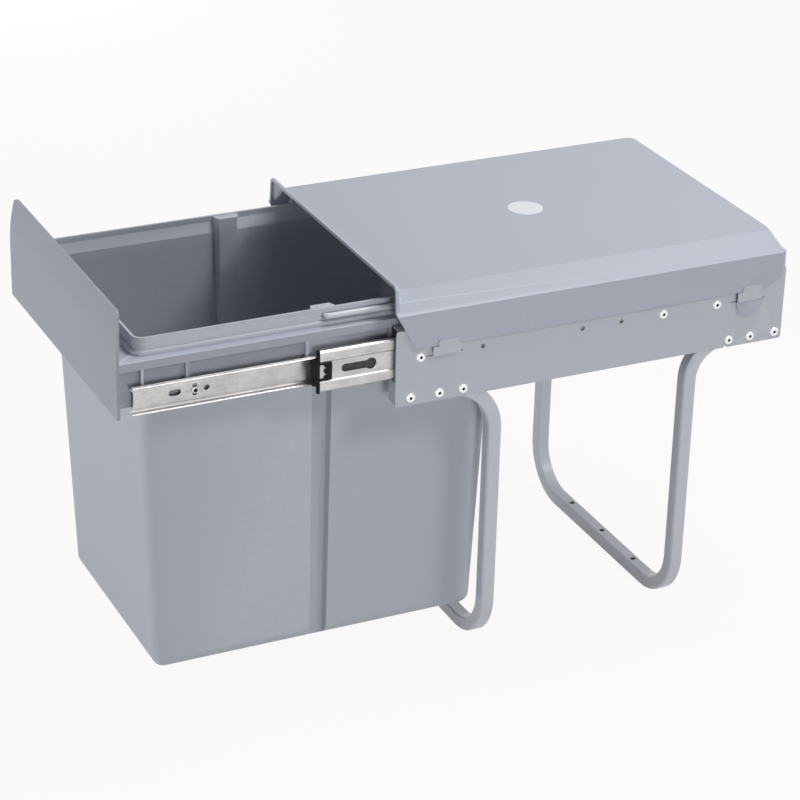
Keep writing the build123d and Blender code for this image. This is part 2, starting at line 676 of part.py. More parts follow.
def carriage_frame():
    """Moulded ring, hollow from below, with an upper band and ribs that carry the slides."""
    height = (CARRIAGE_BOTTOM, CARRIAGE_TOP)
    shell = block((-CARRIAGE_X, CARRIAGE_X), (CARRIAGE_FRONT, CARRIAGE_REAR), height)
    shell = chamfer(shell.edges().filter_by(Axis.Z), RING_EDGE)
    through = CARRIAGE_HEIGHT + 2 * BEYOND
    hole = extrude(Plane.XY.offset(CARRIAGE_BOTTOM - BEYOND) * ring_face(0), amount=through)
    skin = RECESS_X - RING_WALL
    pocket = block(
        (-skin, skin),
        (CARRIAGE_FRONT + RING_TOP, CARRIAGE_REAR - RING_WALL),
        (CARRIAGE_BOTTOM - BEYOND, CARRIAGE_TOP - RING_TOP),
    )
    inner_wall = extrude(Plane.XY.offset(CARRIAGE_BOTTOM - 2 * BEYOND) * ring_face(RING_WALL), amount=through)
    shell -= pocket - inner_wall
    band_low = CARRIAGE_TOP - BAND_HEIGHT
    ends = (CARRIAGE_FRONT + RING_WALL, CARRIAGE_REAR - RING_WALL)
    recess = block((RECESS_X, CARRIAGE_X + BEYOND), ends, (CARRIAGE_BOTTOM - BEYOND, band_low))
    for start in RIB_STARTS:
        y = CARRIAGE_FRONT + start
        recess -= block((RECESS_X, CARRIAGE_X), around(y, RIB_WIDTH / 2), (CARRIAGE_BOTTOM, band_low))
    for y in screw_places():
        recess -= through_x((RECESS_X, CARRIAGE_X), y, SLIDE_Z, SCREW_RADIUS + BOSS_WALL)
    shell -= recess
    shell -= mirrored(recess)
    extras = []
    for x in evenly(-CARRIAGE_X + RING_CORNER, CARRIAGE_X - RING_CORNER, FRONT_WEB_COUNT):
        height = (CARRIAGE_BOTTOM + RING_WALL, CARRIAGE_TOP)
        extras.append(block(around(x, RIB_WIDTH / 2), (CARRIAGE_FRONT, HOLE_FRONT), height))
    for y in screw_places():
        for side in (-1, 1):
            start = (side * HOLE_X, y, SLIDE_Z)
            extras.append(bar(start, (side * RECESS_X, y, SLIDE_Z), SCREW_RADIUS + BOSS_WALL))
    shell = joined([shell, *extras])
    shell -= hole
    for y in screw_places():
        for side in (-1, 1):
            depth = CARRIAGE_X + SLIDE_GAUGE - SCREW_LENGTH - CLEAR
            mouth = (side * (CARRIAGE_X + BEYOND), y, SLIDE_Z)
            shell -= bar((side * depth, y, SLIDE_Z), mouth, SCREW_RADIUS + CLEAR)
    for x in PLATE_SCREWS:
        start = (x, CARRIAGE_FRONT - BEYOND, PLATE_SCREW_Z)
        end = (x, CARRIAGE_FRONT + RING_TOP + CLEAR, PLATE_SCREW_Z)
        shell -= bar(start, end, PLATE_BOSS_RADIUS + CLEAR)
    return shell


def plate_slab():
    """Sheet of the front plate seen from the side: upright below, leaning back towards its top."""
    low = SLIDE_Z - PLATE_DROP
    knee = (CARRIAGE_FRONT, CARRIAGE_TOP + RUNNING)
    tip = (CARRIAGE_FRONT + PLATE_LEAN, low + PLATE_HEIGHT)
    rise = tip[1] - knee[1]
    radius = (rise * rise + PLATE_LEAN * PLATE_LEAN) / (2 * PLATE_LEAN)
    path = Wire([Line((CARRIAGE_FRONT, low), knee), RadiusArc(knee, tip, radius)])
    face = Plane.YZ.offset(-PLATE_WIDTH) * Face(path.offset_2d(PLATE_WALL, side=Side.LEFT))
    return extrude(face, amount=2 * PLATE_WIDTH)


def front_plate():
    """Front plate, with rounded shoulders and bosses that enter the carriage's front wall."""
    low = SLIDE_Z - PLATE_DROP
    top = low + PLATE_HEIGHT
    half = PLATE_WIDTH / 2
    bend = low + PLATE_STRAIGHT
    shoulder = (half - PLATE_TAPER, top - PLATE_CORNER)
    rise = shoulder[1] - bend
    radius = (rise * rise + PLATE_TAPER * PLATE_TAPER) / (2 * PLATE_TAPER)
    tip = (shoulder[0] - PLATE_TAPER * PLATE_CORNER / rise, top)
    side = Curve() + [
        Line((half, low), (half, bend)),
        RadiusArc((half, bend), shoulder, -radius),
        Line(shoulder, tip),
    ]
    across = [Line((-half, low), (half, low)), Line((-tip[0], top), tip)]
    outline = make_face([*side.edges(), *mirror(side, about=Plane.YZ).edges(), *across])
    outline = fillet(outline.vertices().group_by(Axis.Y)[-1], PLATE_CORNER)
    outline = fillet(outline.vertices().group_by(Axis.Y)[0], PLATE_FOOT_CORNER)
    front = Plane(origin=(0, CARRIAGE_FRONT - BEYOND, 0), x_dir=(1, 0, 0), z_dir=(0, -1, 0))
    plate = extrude(front * outline, amount=-4 * BEYOND) & plate_slab()
    for x in PLATE_SCREWS:
        root = (x, CARRIAGE_FRONT, PLATE_SCREW_Z)
        plate += bar(root, (x, CARRIAGE_FRONT + RING_TOP, PLATE_SCREW_Z), PLATE_BOSS_RADIUS)
        end = (x, CARRIAGE_FRONT + RING_TOP + BEYOND, PLATE_SCREW_Z)
        plate -= bar((x, CARRIAGE_FRONT - PLATE_SCREW_BITE, PLATE_SCREW_Z), end, PLATE_SCREW_RADIUS + CLEAR)
    return plate


def plate_screw(x):
    """Flanged screw from inside the carriage's hollow front into a boss of the plate."""
    seat = CARRIAGE_FRONT + RING_TOP
    head = bar((x, seat, PLATE_SCREW_Z), (x, seat + SCREW_HEAD_HEIGHT, PLATE_SCREW_Z), PLATE_SCREW_HEAD)
    tip = (x, CARRIAGE_FRONT - PLATE_SCREW_BITE, PLATE_SCREW_Z)
    return head + bar(tip, (x, seat, PLATE_SCREW_Z), PLATE_SCREW_RADIUS)


# ---- bin -------------------------------------------------------------------------------------------
def bin_halves(z, inset):
    """Half width and half length of the tapered body at a height, set in by a margin."""
    share = (CARRIAGE_TOP - z) / (CARRIAGE_TOP - BIN_FLOOR)
    return (BIN_HALF_X - BIN_TAPER_X * share - inset, BIN_HALF_Y - BIN_TAPER_Y * share - inset)


def bin_wedge(inset, low, high):
    """Closed tapered form between two heights, with sharp upright edges."""
    small_x, small_y = bin_halves(low, inset)
    large_x, large_y = bin_halves(high, inset)
    ends = (large_x - small_x, large_y - small_y, large_x + small_x, large_y + small_y)
    form = Wedge(2 * large_x, high - low, 2 * large_y, *ends, align=(Align.CENTER, Align.MIN, Align.CENTER))
    return Pos(0, BIN_Y, high) * Rot(-90, 0, 0) * form


def bin_form(inset, low, high):
    """Tapered form of the body with rounded upright edges."""
    form = bin_wedge(inset, low, high)
    upright = [edge for edge in form.edges() if edge.bounding_box().size.Z > (high - low) / 2]
    return fillet(upright, BIN_CORNER - inset)


def rim_outline(z, grow):
    """Outline of the rim at a height."""
    outline = RectangleRounded(2 * (RIM_HALF_X + grow), 2 * (RIM_HALF_Y + grow), BIN_CORNER + grow)
    return Plane.XY.offset(z) * Pos(0, BIN_Y) * outline


def rim_form(grow, low, high):
    """Upright form of the rim between two heights."""
    return extrude(rim_outline(low, grow), amount=high - low)


def foot_edges(form):
    """Edges round the underside of a form."""
    return form.faces().sort_by(Axis.Z)[0].edges()


def channel(wall):
    """Upright recess in both long sides; a wall thickness turns it into the boss round it."""
    top = RIM_TOP - CHANNEL_DROP - BIN_WALL + wall
    low = BIN_FLOOR - BEYOND
    narrow, wide = (
        (x, CHANNEL_WIDTH / 2 + wall + (x - BIN_HALF_X) * CHANNEL_DRAFT / CHANNEL_DEPTH)
        for x in (BIN_HALF_X - 2 * CHANNEL_DEPTH - wall, RIM_HALF_X + BEYOND)
    )
    corners = [narrow, wide, (wide[0], -wide[1]), (narrow[0], -narrow[1])]
    outline = Pos(0, BIN_Y) * make_face(Polyline(*corners, close=True))
    side = extrude(Plane.XY.offset(low) * outline, amount=top - low)
    return joined([side, mirrored(side)]) - bin_wedge(CHANNEL_DEPTH + wall, low - BEYOND, RIM_TOP + BEYOND)


def bin_shell():
    """Waste bin: tapered body, stepped rim with a bead that rests on the carriage, and two channels."""
    body = bin_form(0, BIN_FLOOR, CARRIAGE_TOP)
    body = fillet(foot_edges(body), BIN_FOOT)
    space = bin_form(BIN_WALL, BIN_FLOOR + BIN_WALL, CARRIAGE_TOP)
    space = chamfer(foot_edges(space), BIN_FOOT / 2)
    rim = rim_form(0, CARRIAGE_TOP, RIM_TOP)
    bead = rim_form(BEAD_OUT, CARRIAGE_TOP, CARRIAGE_TOP + BEAD_HEIGHT)
    bead = chamfer(bead.faces().sort_by(Axis.Z)[-1].edges(), BEAD_EDGE)
    slope_top = CARRIAGE_TOP + RIM_SLOPE
    slope_foot = rim_outline(CARRIAGE_TOP, -RIM_STEP - BIN_WALL)
    slope = loft([slope_foot, rim_outline(slope_top, -BIN_WALL)], ruled=True)
    mouth = rim_form(-BIN_WALL, slope_top, RIM_TOP + BEYOND)
    inside = joined([space, slope, mouth])
    shell = joined([body, rim, bead]) - inside
    shell = joined([shell, channel(BIN_WALL) & inside])
    below = block(around(0, 2 * RIM_HALF_X), around(BIN_Y, RIM_HALF_Y), (0, CARRIAGE_TOP))
    low_recess = channel(0) & below
    high_recess = channel(0) & rim_form(-BIN_WALL, CARRIAGE_TOP - CLEAR, RIM_TOP)
    shell -= low_recess
    shell -= high_recess
    for side in (-1, 1):
        start = (side * (RIM_HALF_X - 2 * BIN_WALL), BIN_Y, PIVOT_Z)
        shell -= bar(start, (side * (RIM_HALF_X + BEYOND), BIN_Y, PIVOT_Z), BAIL_RADIUS + RUNNING)
    return shell


def wire_section(origin, along):
    """Section of the handle's wire across a direction."""
    outline = RegularPolygon(BAIL_RADIUS, WIRE_SIDES)
    return Plane(origin=origin, x_dir=(0, 0, 1), z_dir=along) * outline


def bail_handle():
    """Bent wire handle: pins in the rim's holes, arms along the band and a bar round the rear."""
    arm = RIM_HALF_X + BAIL_GAP + BAIL_RADIUS
    reach = RIM_HALF_Y + BAIL_GAP + BAIL_RADIUS
    right = [(arm - BAIL_PIN, 0, 0), (arm, 0, 0), (arm, reach, 0)]
    left = [(-x, y, z) for x, y, z in reversed(right)]
    wire = bent(wire_section, right + left, [BAIL_PIN_BEND, BAIL_BEND, BAIL_BEND, BAIL_PIN_BEND])
    rest_z = CARRIAGE_TOP + BEAD_HEIGHT + BAIL_GAP + BAIL_RADIUS
    fall = degrees(asin((PIVOT_Z - rest_z) / reach))
    return Pos(0, BIN_Y, PIVOT_Z) * Rot(-fall, 0, 0) * wire


# ---- cover -----------------------------------------------------------------------------------------
def cover_ring(z, half, rear, front):
    """Section of the cover at a height, square in front and rounded behind."""
    outline = Pos(0, (front + rear) / 2) * Rectangle(2 * half, rear - front)
    outline = fillet(outline.vertices().group_by(Axis.Y)[-1], LID_CORNER)
    return Plane.XY.offset(z) * outline


def cover_form(inset, front, low):
    """Closed form of the cover: upright skirt, narrow ledge, steep bevel and flat top."""
    sides = cover_ring(low, LID_HALF - inset, LID_REAR - inset, front)
    upright = extrude(sides, amount=LEDGE_Z - inset - low)
    ledge = cover_ring(LEDGE_Z - inset, LID_HALF - inset, LID_REAR - inset, front)
    foot_z = LEDGE_Z + LEDGE_SLOPE - inset
    foot = cover_ring(foot_z, LID_HALF - BEVEL_INSET - inset, LID_REAR - BEVEL_REAR_INSET - inset, front)
    top = cover_ring(LID_TOP - inset, LID_HALF - TOP_INSET - inset, LID_REAR - TOP_REAR_INSET - inset, front)
    return joined([upright, loft([ledge, foot], ruled=True), loft([foot, top], ruled=True)])


def lip_ring(y, rise, spread, inset):
    """Upright section across the cover for its flared front lip, set in by a margin."""
    foot_z = LEDGE_Z + LEDGE_SLOPE - inset
    foot_half = LID_HALF - BEVEL_INSET - LID_WALL / 2 - inset
    top = LID_TOP + rise - inset
    half = LID_HALF - TOP_INSET + spread - inset
    right = [(foot_half, foot_z), (half, top - LIP_CORNER), (half - LIP_CORNER, top)]
    left = [(-x, z) for x, z in reversed(right)]
    plane = Plane(origin=(0, y, 0), x_dir=(1, 0, 0), z_dir=(0, -1, 0))
    return plane * make_face(Polyline(*right, *left, close=True))


def front_lip(inset):
    """Raised lip across the front that dies away into the flat top."""
    crest = lip_ring(PANEL_FRONT - inset, LIP_RISE, LIP_SPREAD, inset)
    flat = extrude(crest, amount=-LIP_CREST - inset)
    start = lip_ring(PANEL_FRONT + LIP_CREST, LIP_RISE, LIP_SPREAD, inset)
    middle = lip_ring(PANEL_FRONT + LIP_MID_RUN, LIP_MID_RISE, LIP_SPREAD * LIP_MID_RISE / LIP_RISE, inset)
    end = lip_ring(PANEL_FRONT + LIP_RUN, 0, 0, inset)
    return joined([flat, loft([start, middle], ruled=True), loft([middle, end], ruled=True)])


def skirt_outline():
    """Side view of the cover: slanted front edge, lower edge with a tongue, and raised rear corner."""
    tongue = FLAG_STARTS[-1] + TONGUE_RADIUS
    points = [
        (PANEL_FRONT - BEYOND, LID_TOP + 2 * BEYOND),
        (PANEL_FRONT - BEYOND, LEDGE_Z),
        (PANEL_FRONT, LEDGE_Z),
        (PANEL_FRONT + SKIRT_KNEE_RUN, LEDGE_Z - SKIRT_KNEE_DROP),
        (PANEL_FRONT + SKIRT_FRONT_RUN, SKIRT_Z),
        (LID_REAR - SKIRT_REAR_RUN, SKIRT_Z),
        (LID_REAR, SKIRT_Z + SKIRT_REAR_RISE),
        (LID_REAR + BEYOND, SKIRT_Z + SKIRT_REAR_RISE),
        (LID_REAR + BEYOND, LID_TOP + 2 * BEYOND),
    ]
    outline = make_face(Polyline(*points, close=True))
    disc = Pos(tongue, FLAG_Z - SLIT_WIDTH) * Circle(TONGUE_RADIUS)
    disc -= Pos(tongue, FLAG_Z - SLIT_WIDTH + TONGUE_RADIUS) * Rectangle(2 * TONGUE_RADIUS, 2 * TONGUE_RADIUS)
    neck_start = tongue - TONGUE_RADIUS + FLAG_STEP / 2
    neck = Rectangle(TONGUE_NECK, FLAG_HEIGHT, align=(Align.MIN, Align.MIN))
    neck = Pos(neck_start, FLAG_Z - 2 * SLIT_WIDTH) * neck
    return outline + disc + neck


def lid():
    """Moulded cover: a thin shell open at the front and below, ribbed where it sits on the panels."""
    low = SKIRT_Z - 2 * TONGUE_RADIUS
    outside = joined([cover_form(0, PANEL_FRONT, low), front_lip(0)])
    inside = joined([cover_form(LID_WALL, PANEL_FRONT - BEYOND, low - BEYOND), front_lip(LID_WALL)])
    shell = outside - inside
    keep = extrude(Plane.YZ.offset(-2 * LID_HALF) * skirt_outline(), amount=4 * LID_HALF)
    shell = shell & keep
    rear_low = PANEL_TOP + REAR_WALL_GAP
    between = (-PANEL_OUTER, PANEL_OUTER)
    shell -= block(between, (PANEL_FRONT - BEYOND, LID_REAR + BEYOND), (low - BEYOND, rear_low))
    ribs = []
    for y in evenly(PANEL_FRONT + 2 * LIP_RUN, PANEL_REAR - 2 * LIP_RUN, LID_RIB_COUNT):
        inner = PANEL_INNER - LID_RIB_REACH
        across = (inner, PANEL_OUTER + LID_WALL / 2)
        rib = block(across, (y, y + LID_RIB_WALL), (PANEL_TOP, LID_TOP - LID_WALL / 2))
        rib &= cover_form(LID_WALL / 2, PANEL_FRONT, low)
        ribs += [rib, mirrored(rib)]
    return joined([shell, *ribs])


def lid_label():
    """Plain round label in the middle of the cover."""
    y = (PANEL_FRONT + LID_REAR) / 2
    return bar((0, y, LID_TOP), (0, y, LID_TOP + LABEL_THICKNESS), LABEL_RADIUS, LABEL_SIDES)


# ---- write every node ------------------------------------------------------------------------------
def nodes():
    """All nodes by name."""
    front_leg_y = -LEG_SPACING / 2
    rear_leg_y = LEG_SPACING / 2
    run_front = PANEL_FRONT + RUN_END_GAP
    run_rear = PANEL_REAR - RUN_END_GAP
    grip = PANEL_GAUGE + SLIDE_GAUGE
    outer_cage_start = PANEL_FRONT + OUTER_CAGE_SETBACK - MIDDLE_OPEN / 2
    inner_cage_start = PANEL_FRONT + INNER_CAGE_SETBACK - MIDDLE_OPEN - INNER_OPEN / 2
    right = {
        "side_panel": side_panel(),
        "slide_outer": slide_outer(),
        "slide_middle": slide_middle(),
        "slide_inner": slide_inner(),
        "slide_bumper": slide_bumper(),
        "outer_cage": cage(OUTER_ROW, SLIDE_GAUGE + CAGE_GAP, CAGE_STRIP_DROP, outer_cage_start),
        "inner_cage": cage(INNER_ROW, RECESS_WEB + CAGE_GAP, CAGE_STRIP_DROP, inner_cage_start),
        "outer_balls": balls(OUTER_ROW, outer_cage_start),
        "inner_balls": balls(INNER_ROW, inner_cage_start),
    }
    found = {
        "front_leg": leg(front_leg_y, run_front, LEG_BEND, front_rivet_places()),
        "rear_leg": leg(rear_leg_y, run_rear, REAR_TOP_BEND, rear_rivet_places()),
        "leg_rivets": both_sides([rivet(y, LEG_HEIGHT, PANEL_GAUGE + TUBE_WALL) for y in leg_rivet_places()]),
        "slide_rivets": both_sides([rivet(y, SLIDE_Z, grip) for y in slide_rivet_places()]),
        "carriage_frame": carriage_frame(),
        "front_plate": front_plate(),
        "plate_screws": group([plate_screw(x) for x in PLATE_SCREWS]),
        "slide_screws": both_sides([slide_screw(y) for y in screw_places()]),
        "bin": bin_shell(),
        "bail_handle": bail_handle(),
        "lid": lid(),
        "lid_label": lid_label(),
    }
    for name, shape in right.items():
        found[name + "_right"] = shape
        found[name + "_left"] = mirrored(shape)
    return found


for node, shape in nodes().items():
    export_step(shape, f"parts/{node}.step")
    print(node, round(shape.volume, 1))
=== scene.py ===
import json
from math import pi, radians

import bmesh
import bpy
from bpy.props import FloatProperty, FloatVectorProperty, IntProperty, PointerProperty
from mathutils import Matrix, Vector


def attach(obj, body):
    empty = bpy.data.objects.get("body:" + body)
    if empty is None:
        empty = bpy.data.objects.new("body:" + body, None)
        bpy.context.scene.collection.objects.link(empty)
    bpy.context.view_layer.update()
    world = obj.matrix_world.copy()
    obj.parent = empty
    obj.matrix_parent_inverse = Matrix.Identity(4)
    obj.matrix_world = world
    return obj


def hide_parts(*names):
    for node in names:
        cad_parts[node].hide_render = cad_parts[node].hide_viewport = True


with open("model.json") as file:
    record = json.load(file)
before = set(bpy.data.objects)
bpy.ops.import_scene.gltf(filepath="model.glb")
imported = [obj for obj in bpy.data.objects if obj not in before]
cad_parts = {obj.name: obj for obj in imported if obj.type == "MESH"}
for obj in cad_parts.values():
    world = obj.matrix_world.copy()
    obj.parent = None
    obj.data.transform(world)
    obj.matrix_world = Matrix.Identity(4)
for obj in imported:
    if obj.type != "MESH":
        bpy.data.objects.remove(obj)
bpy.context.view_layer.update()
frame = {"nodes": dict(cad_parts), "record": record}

bl_info = {
    "name": "Pull-out waste-bin unit",
    "version": (1, 1, 0),
    "blender": (4, 5, 0),
    "location": "View3D > Sidebar > Bin unit",
    "description": "Gives a pull-out waste-bin unit its finishes, fasteners, handle and stage",
    "category": "Object",
}

RECORD = frame["record"]
NODES = frame["nodes"]
SIDES = ("left", "right")

# Sizes are in metres, except where a comment gives another measure
SAME_PLACE = 1e-6  # two points are one within it
SMOOTH_ANGLE = radians(38)  # edges below it are shaded smooth

# Domed heads of rivets and screws
DOME_LAYERS = 4
DOME_FOOT = 0.12  # share of the height that is the straight rim
DOME_CURVE = 2.6  # exponent of the profile: 2 is round, and more is fuller at the shoulder
DOME_WIDTH = 0.98  # share of the radius at which the curve starts, inside the rim
DOME_STEP = 1.25  # rise of a lower layer, in even layers
DOME_TOP_STEP = 0.25  # rise of the top layer, in even layers
HEAD_FLAT = 0.65  # share of the radius at which the head ends in a flat top

# Blind rivets
RIVET_FIT = 0.99  # share of the CAD head's radius
RIVET_TOP = 0.62  # share to which the flat top is drawn in
RIVET_STEM = 0.5  # radius of the shank, in head radii
RIVET_GRIP = 0.0022  # length of the shank
LIP_DEPTH = 0.12  # of the open hole's lip, in crowns
LIP_NARROWS = 0.9  # share to which the lip draws the hole in
HOLE_DEPTH = 0.6  # below the lip, in crowns
HOLE_REACH = 1.02  # of the recess's mark, in hole radii
HOLE_FLOOR = 0.1  # of the recess's mark, in crowns

# Pan-head screws: radius and height of the head, radius and length of the shank
SLIDE_SCREW = {"radius": 0.0029, "height": 0.0019, "stem": 0.0017, "depth": 0.0078}
PLATE_SCREW = {"radius": 0.0050, "height": 0.0019, "stem": 0.0013, "depth": 0.0045}
CROSS_SPAN = 1.05  # length of the cross, in head radii
CROSS_WIDTH = 0.24  # width of an arm, in lengths of the cross
CROSS_RISE = 1.05  # middle of the cutter, in head heights
CROSS_TAPER = 0.6  # share to which it narrows downwards
CROSS_REACH = 0.56  # of the recess's mark, in head radii
CROSS_FLOOR = 0.53  # of the recess's mark, in head heights

# Bail handle and balls
CAD_WIRE = 0.0025  # radius of the CAD handle's six-sided wire
HALF_ACROSS_FLATS = 0.866  # of a hexagon whose corners lie at 1
WIRE_SIDES = 16
WIRE_END = 0.3  # rounding of the wire's ends, in its radii
PIN_BEND_STEPS = 5
HANDLE_BEND_STEPS = 8
BALL_SIDES = 20  # of the circle that a ball is turned from
BALL_STEPS = 16  # of the full turn

# Surfaces
WHITE = (1.0, 1.0, 1.0, 1.0)
RECESS = "Recess"  # face attribute that marks the recess in a fastener's head, where shade is painted
EDGE_LIGHT_STOPS = ((0.505, 0.0), (0.56, 1.0))  # pointiness and grey of the painted highlight along sharp edges
CREASE_SHADE_STOPS = ((0.43, 1.0), (0.493, 0.0))  # pointiness and grey of the painted shade in creases
SCUFFED = ((0.40, 0.0), (0.64, 1.0))  # noise and grey of clean steel between scuffs
SCUFF_DEPTH = 1.6  # darkening of a scuff, in contrasts
KEYHOLE = {  # middle, half size and soft border of the painted shade spot along each axis
    "Y": (-0.2210, 0.0240, 0.004),
    "Z": (0.2855, 0.0062, 0.0012),
}
KEYHOLE_SHADE = {"Base Color": 0.97, "Metallic": 0.9}  # share that the painted shade in the keyhole takes from each
RECESS_SHADE = 0.97  # share of the colour that painted shade takes from a recess

# Stage: a lamp is its name, the setting of its power, the side of its square and its place
LAMPS = (
    ("Key", "key_power", 0.8, (0.05, 0.40, 1.95)),
    ("Right", "side_power", 0.5, (1.95, -0.35, 0.28)),
    ("Corner", "corner_power", 0.4, (1.00, 0.82, 1.50)),
    ("Front", "front_power", 1.2, (-0.30, -1.95, 0.45)),
    ("Left", "far_power", 0.5, (-1.95, 0.10, 0.25)),
    ("Back", "far_power", 0.9, (-0.30, 1.95, 0.30)),
)
LAMP_AIM = (0.0, -0.08, 0.28)
FLOOR_SIZE = 14.0
FLOOR_DROP = 0.0004  # below the feet
FLOOR_GREY = (0.55, 0.55, 0.56, 1.0)
FLOOR_GLOW = 0.93  # share of plain white that backdrop rays see on the floor
SKY_TINT = (0.97, 0.98, 1.0, 1.0)
SKY_LEVEL = 0.03
CAMERA_PLACE = (1.8712, -1.0166, 1.1894)
CAMERA_TURN = (64.0948, -1.3538, 64.9411)  # degrees
CAMERA_LENS = 122.2335  # millimetres, as is the sensor's width
CAMERA_SENSOR = 36.0
CAMERA_NEAR = 0.05


# ---- settings ------------------------------------------------------------------------------------
def length(name, description, default):
    """A size in metres that the panel shows."""
    return FloatProperty(
        name=name, description=description, default=default, precision=5, unit="LENGTH"
    )


def power(name, description, default):
    """A lamp's power that the panel shows."""
    return FloatProperty(name=name, description=description, default=default, unit="POWER")


def colour(name, description, default):
    """A colour that the panel shows."""
    return FloatVectorProperty(name=name, description=description, default=default, subtype="COLOR")


class BinUnitSettings(bpy.types.PropertyGroup):
    """Sizes, colours and light levels that the operators share."""

    moulded_edge: length("Moulded edge", "Rounding of moulded plastic edges", 0.0006)
    sheet_edge: length("Sheet edge", "Rounding of cut sheet-steel edges", 0.00022)
    tube_edge: length("Tube edge", "Rounding of the square tube's corners", 0.0005)
    crown: length("Rivet crown", "Height of a blind rivet's domed head", 0.0013)
    mandrel: length("Mandrel hole", "Radius of the open hole in a blind rivet's head", 0.0013)
    wire: length("Handle wire", "Radius of the bail handle's wire", 0.0024)
    pin: length("Handle pin", "Length of the handle's pin inside the rim", 0.0098)
    pin_bend: length("Pin bend", "Bend radius between the handle's pin and arm", 0.0028)
    handle_bend: length("Handle bend", "Bend radius of the handle's two rear corners", 0.0090)
    turned_sides: IntProperty(
        name="Turned sides", description="Sides of a small turned form", default=24
    )
    cover: colour("Cover colour", "Colour of the moulded cover", (0.450, 0.482, 0.560))
    bin: colour("Bin colour", "Colour of the moulded bin", (0.495, 0.522, 0.580))
    carriage: colour("Carriage colour", "Colour of the moulded carriage", (0.385, 0.405, 0.465))
    plate: colour("Plate colour", "Colour of the moulded front plate", (0.338, 0.358, 0.420))
    bumper: colour("Bumper colour", "Colour of the slides' bumpers", (0.008, 0.008, 0.009))
    label: colour("Label colour", "Colour of the plain paper label", (0.83, 0.85, 0.89))
    panel: colour("Panel colour", "Colour of the painted side panels", (0.535, 0.560, 0.615))
    tube: colour("Tube colour", "Colour of the painted legs and handle", (0.610, 0.635, 0.690))
    steel: colour("Slide colour", "Colour of the plated slides", (0.56, 0.548, 0.537))
    cage: colour("Cage colour", "Colour of the ball cages", (0.46, 0.45, 0.43))
    rivet: colour("Rivet colour", "Colour of the blind rivets", (0.80, 0.80, 0.81))
    screw: colour("Screw colour", "Colour of the screws", (0.70, 0.69, 0.66))
    ball: colour("Ball colour", "Colour of the slides' balls", (0.74, 0.74, 0.75))
    key_power: power("Key light", "Power of the soft lamp above", 18.5)
    side_power: power("Right light", "Power of the soft lamp on the right-hand side", 10.0)
    corner_power: power("Corner light", "Power of the lamp that glances off the bevel", 8.5)
    front_power: power("Front light", "Power of the soft lamp in front of the bin", 17.0)
    far_power: power("Far lights", "Power of the soft lamps on the left and behind", 7.0)


def settings():
    """The scene's settings of this unit."""
    return bpy.context.scene.bin_unit


# ---- node helpers --------------------------------------------------------------------------------
def add(tree, kind, **values):
    """Adds a node; values set its inputs by name, or its properties."""
    node = tree.nodes.new(kind)
    for name, value in values.items():
        label = name.replace("_", " ")
        if label in node.inputs:
            node.inputs[label].default_value = value
        else:
            setattr(node, name, value)
    return node


def join(tree, source, target):
    """Links an output to an input, or sets the input to a plain value."""
    if isinstance(source, bpy.types.NodeSocket):
        tree.links.new(source, target)
    else:
        target.default_value = source


def maths(tree, operation, *values):
    """Result of a maths operation on plain values or links."""
    node = add(tree, "ShaderNodeMath", operation=operation)
    for value, socket in zip(values, node.inputs):
        join(tree, value, socket)
    return node.outputs[0]


def product(tree, first, second):
    """Two values multiplied."""
    return maths(tree, "MULTIPLY", first, second)


def one_minus(tree, value):
    """One less a value."""
    return maths(tree, "SUBTRACT", 1.0, value)


def one_plus(tree, value):
    """One more than a value."""
    return maths(tree, "ADD", 1.0, value)


def spread(tree, value, low, high):
    """Spreads a 0 to 1 value between two limits."""
    node = add(tree, "ShaderNodeMapRange")
    for source, label in ((value, "Value"), (low, "To Min"), (high, "To Max")):
        join(tree, source, node.inputs[label])
    return node.outputs["Result"]


def steps(tree, factor, stops):
    """Grey ramp over a factor, from (position, grey) stops."""
    node = add(tree, "ShaderNodeValToRGB")
    for element, (position, grey) in zip(node.color_ramp.elements, stops):
        element.position = position
        element.color = (grey, grey, grey, 1.0)
    tree.links.new(factor, node.inputs["Fac"])
    return node.outputs["Color"]


def shaded(tree, tint, factor):
    """Colour multiplied by a factor."""
    node = add(tree, "ShaderNodeVectorMath", operation="SCALE")
    join(tree, tint, node.inputs[0])
    join(tree, factor, node.inputs["Scale"])
    return node.outputs[0]


def noise(tree, vector, scale, detail=2.0, roughness=0.5):
    """Noise factor over a vector."""
    node = add(tree, "ShaderNodeTexNoise", Detail=detail, Roughness=roughness)
    join(tree, scale, node.inputs["Scale"])
    tree.links.new(vector, node.inputs["Vector"])
    return node.outputs["Fac"]


# ---- shared surface effects ----------------------------------------------------------------------
def effect(name, takes, gives, build):
    """Shared node group: takes maps inputs to defaults, gives maps outputs to their kinds."""
    known = bpy.data.node_groups.get(name)
    if known:
        return known
    group = bpy.data.node_groups.new(name, "ShaderNodeTree")
    for label, default in takes.items():
        kind = "NodeSocketColor" if isinstance(default, tuple) else "NodeSocketFloat"
        socket = group.interface.new_socket(label, in_out="INPUT", socket_type=kind)
        socket.default_value = default
    for label, kind in gives.items():
        group.interface.new_socket(label, in_out="OUTPUT", socket_type=f"NodeSocket{kind}")
    start = group.nodes.new("NodeGroupInput")
    end = group.nodes.new("NodeGroupOutput")
    place = add(group, "ShaderNodeTexCoord").outputs["Object"]
    for label, result in build(group, start.outputs, place).items():
        group.links.new(result, end.inputs[label])
    return group


def use(tree, group, **values):
    """Places a shared effect in a tree; values are plain or links."""
    node = add(tree, "ShaderNodeGroup", node_tree=group)
    for name, value in values.items():
        join(tree, value, node.inputs[name])
    return node.outputs


def colour_drift():
    """Slow clouds of slightly lighter and darker colour."""
    def build(tree, given, place):
        cloud = noise(tree, place, given["Scale"], detail=3.0)
        low = one_minus(tree, given["Amount"])
        high = one_plus(tree, given["Amount"])
        return {"Colour": shaded(tree, given["Colour"], spread(tree, cloud, low, high))}

    takes = {"Colour": WHITE, "Scale": 9.0, "Amount": 0.02}
    return effect("Colour drift", takes, {"Colour": "Color"}, build)


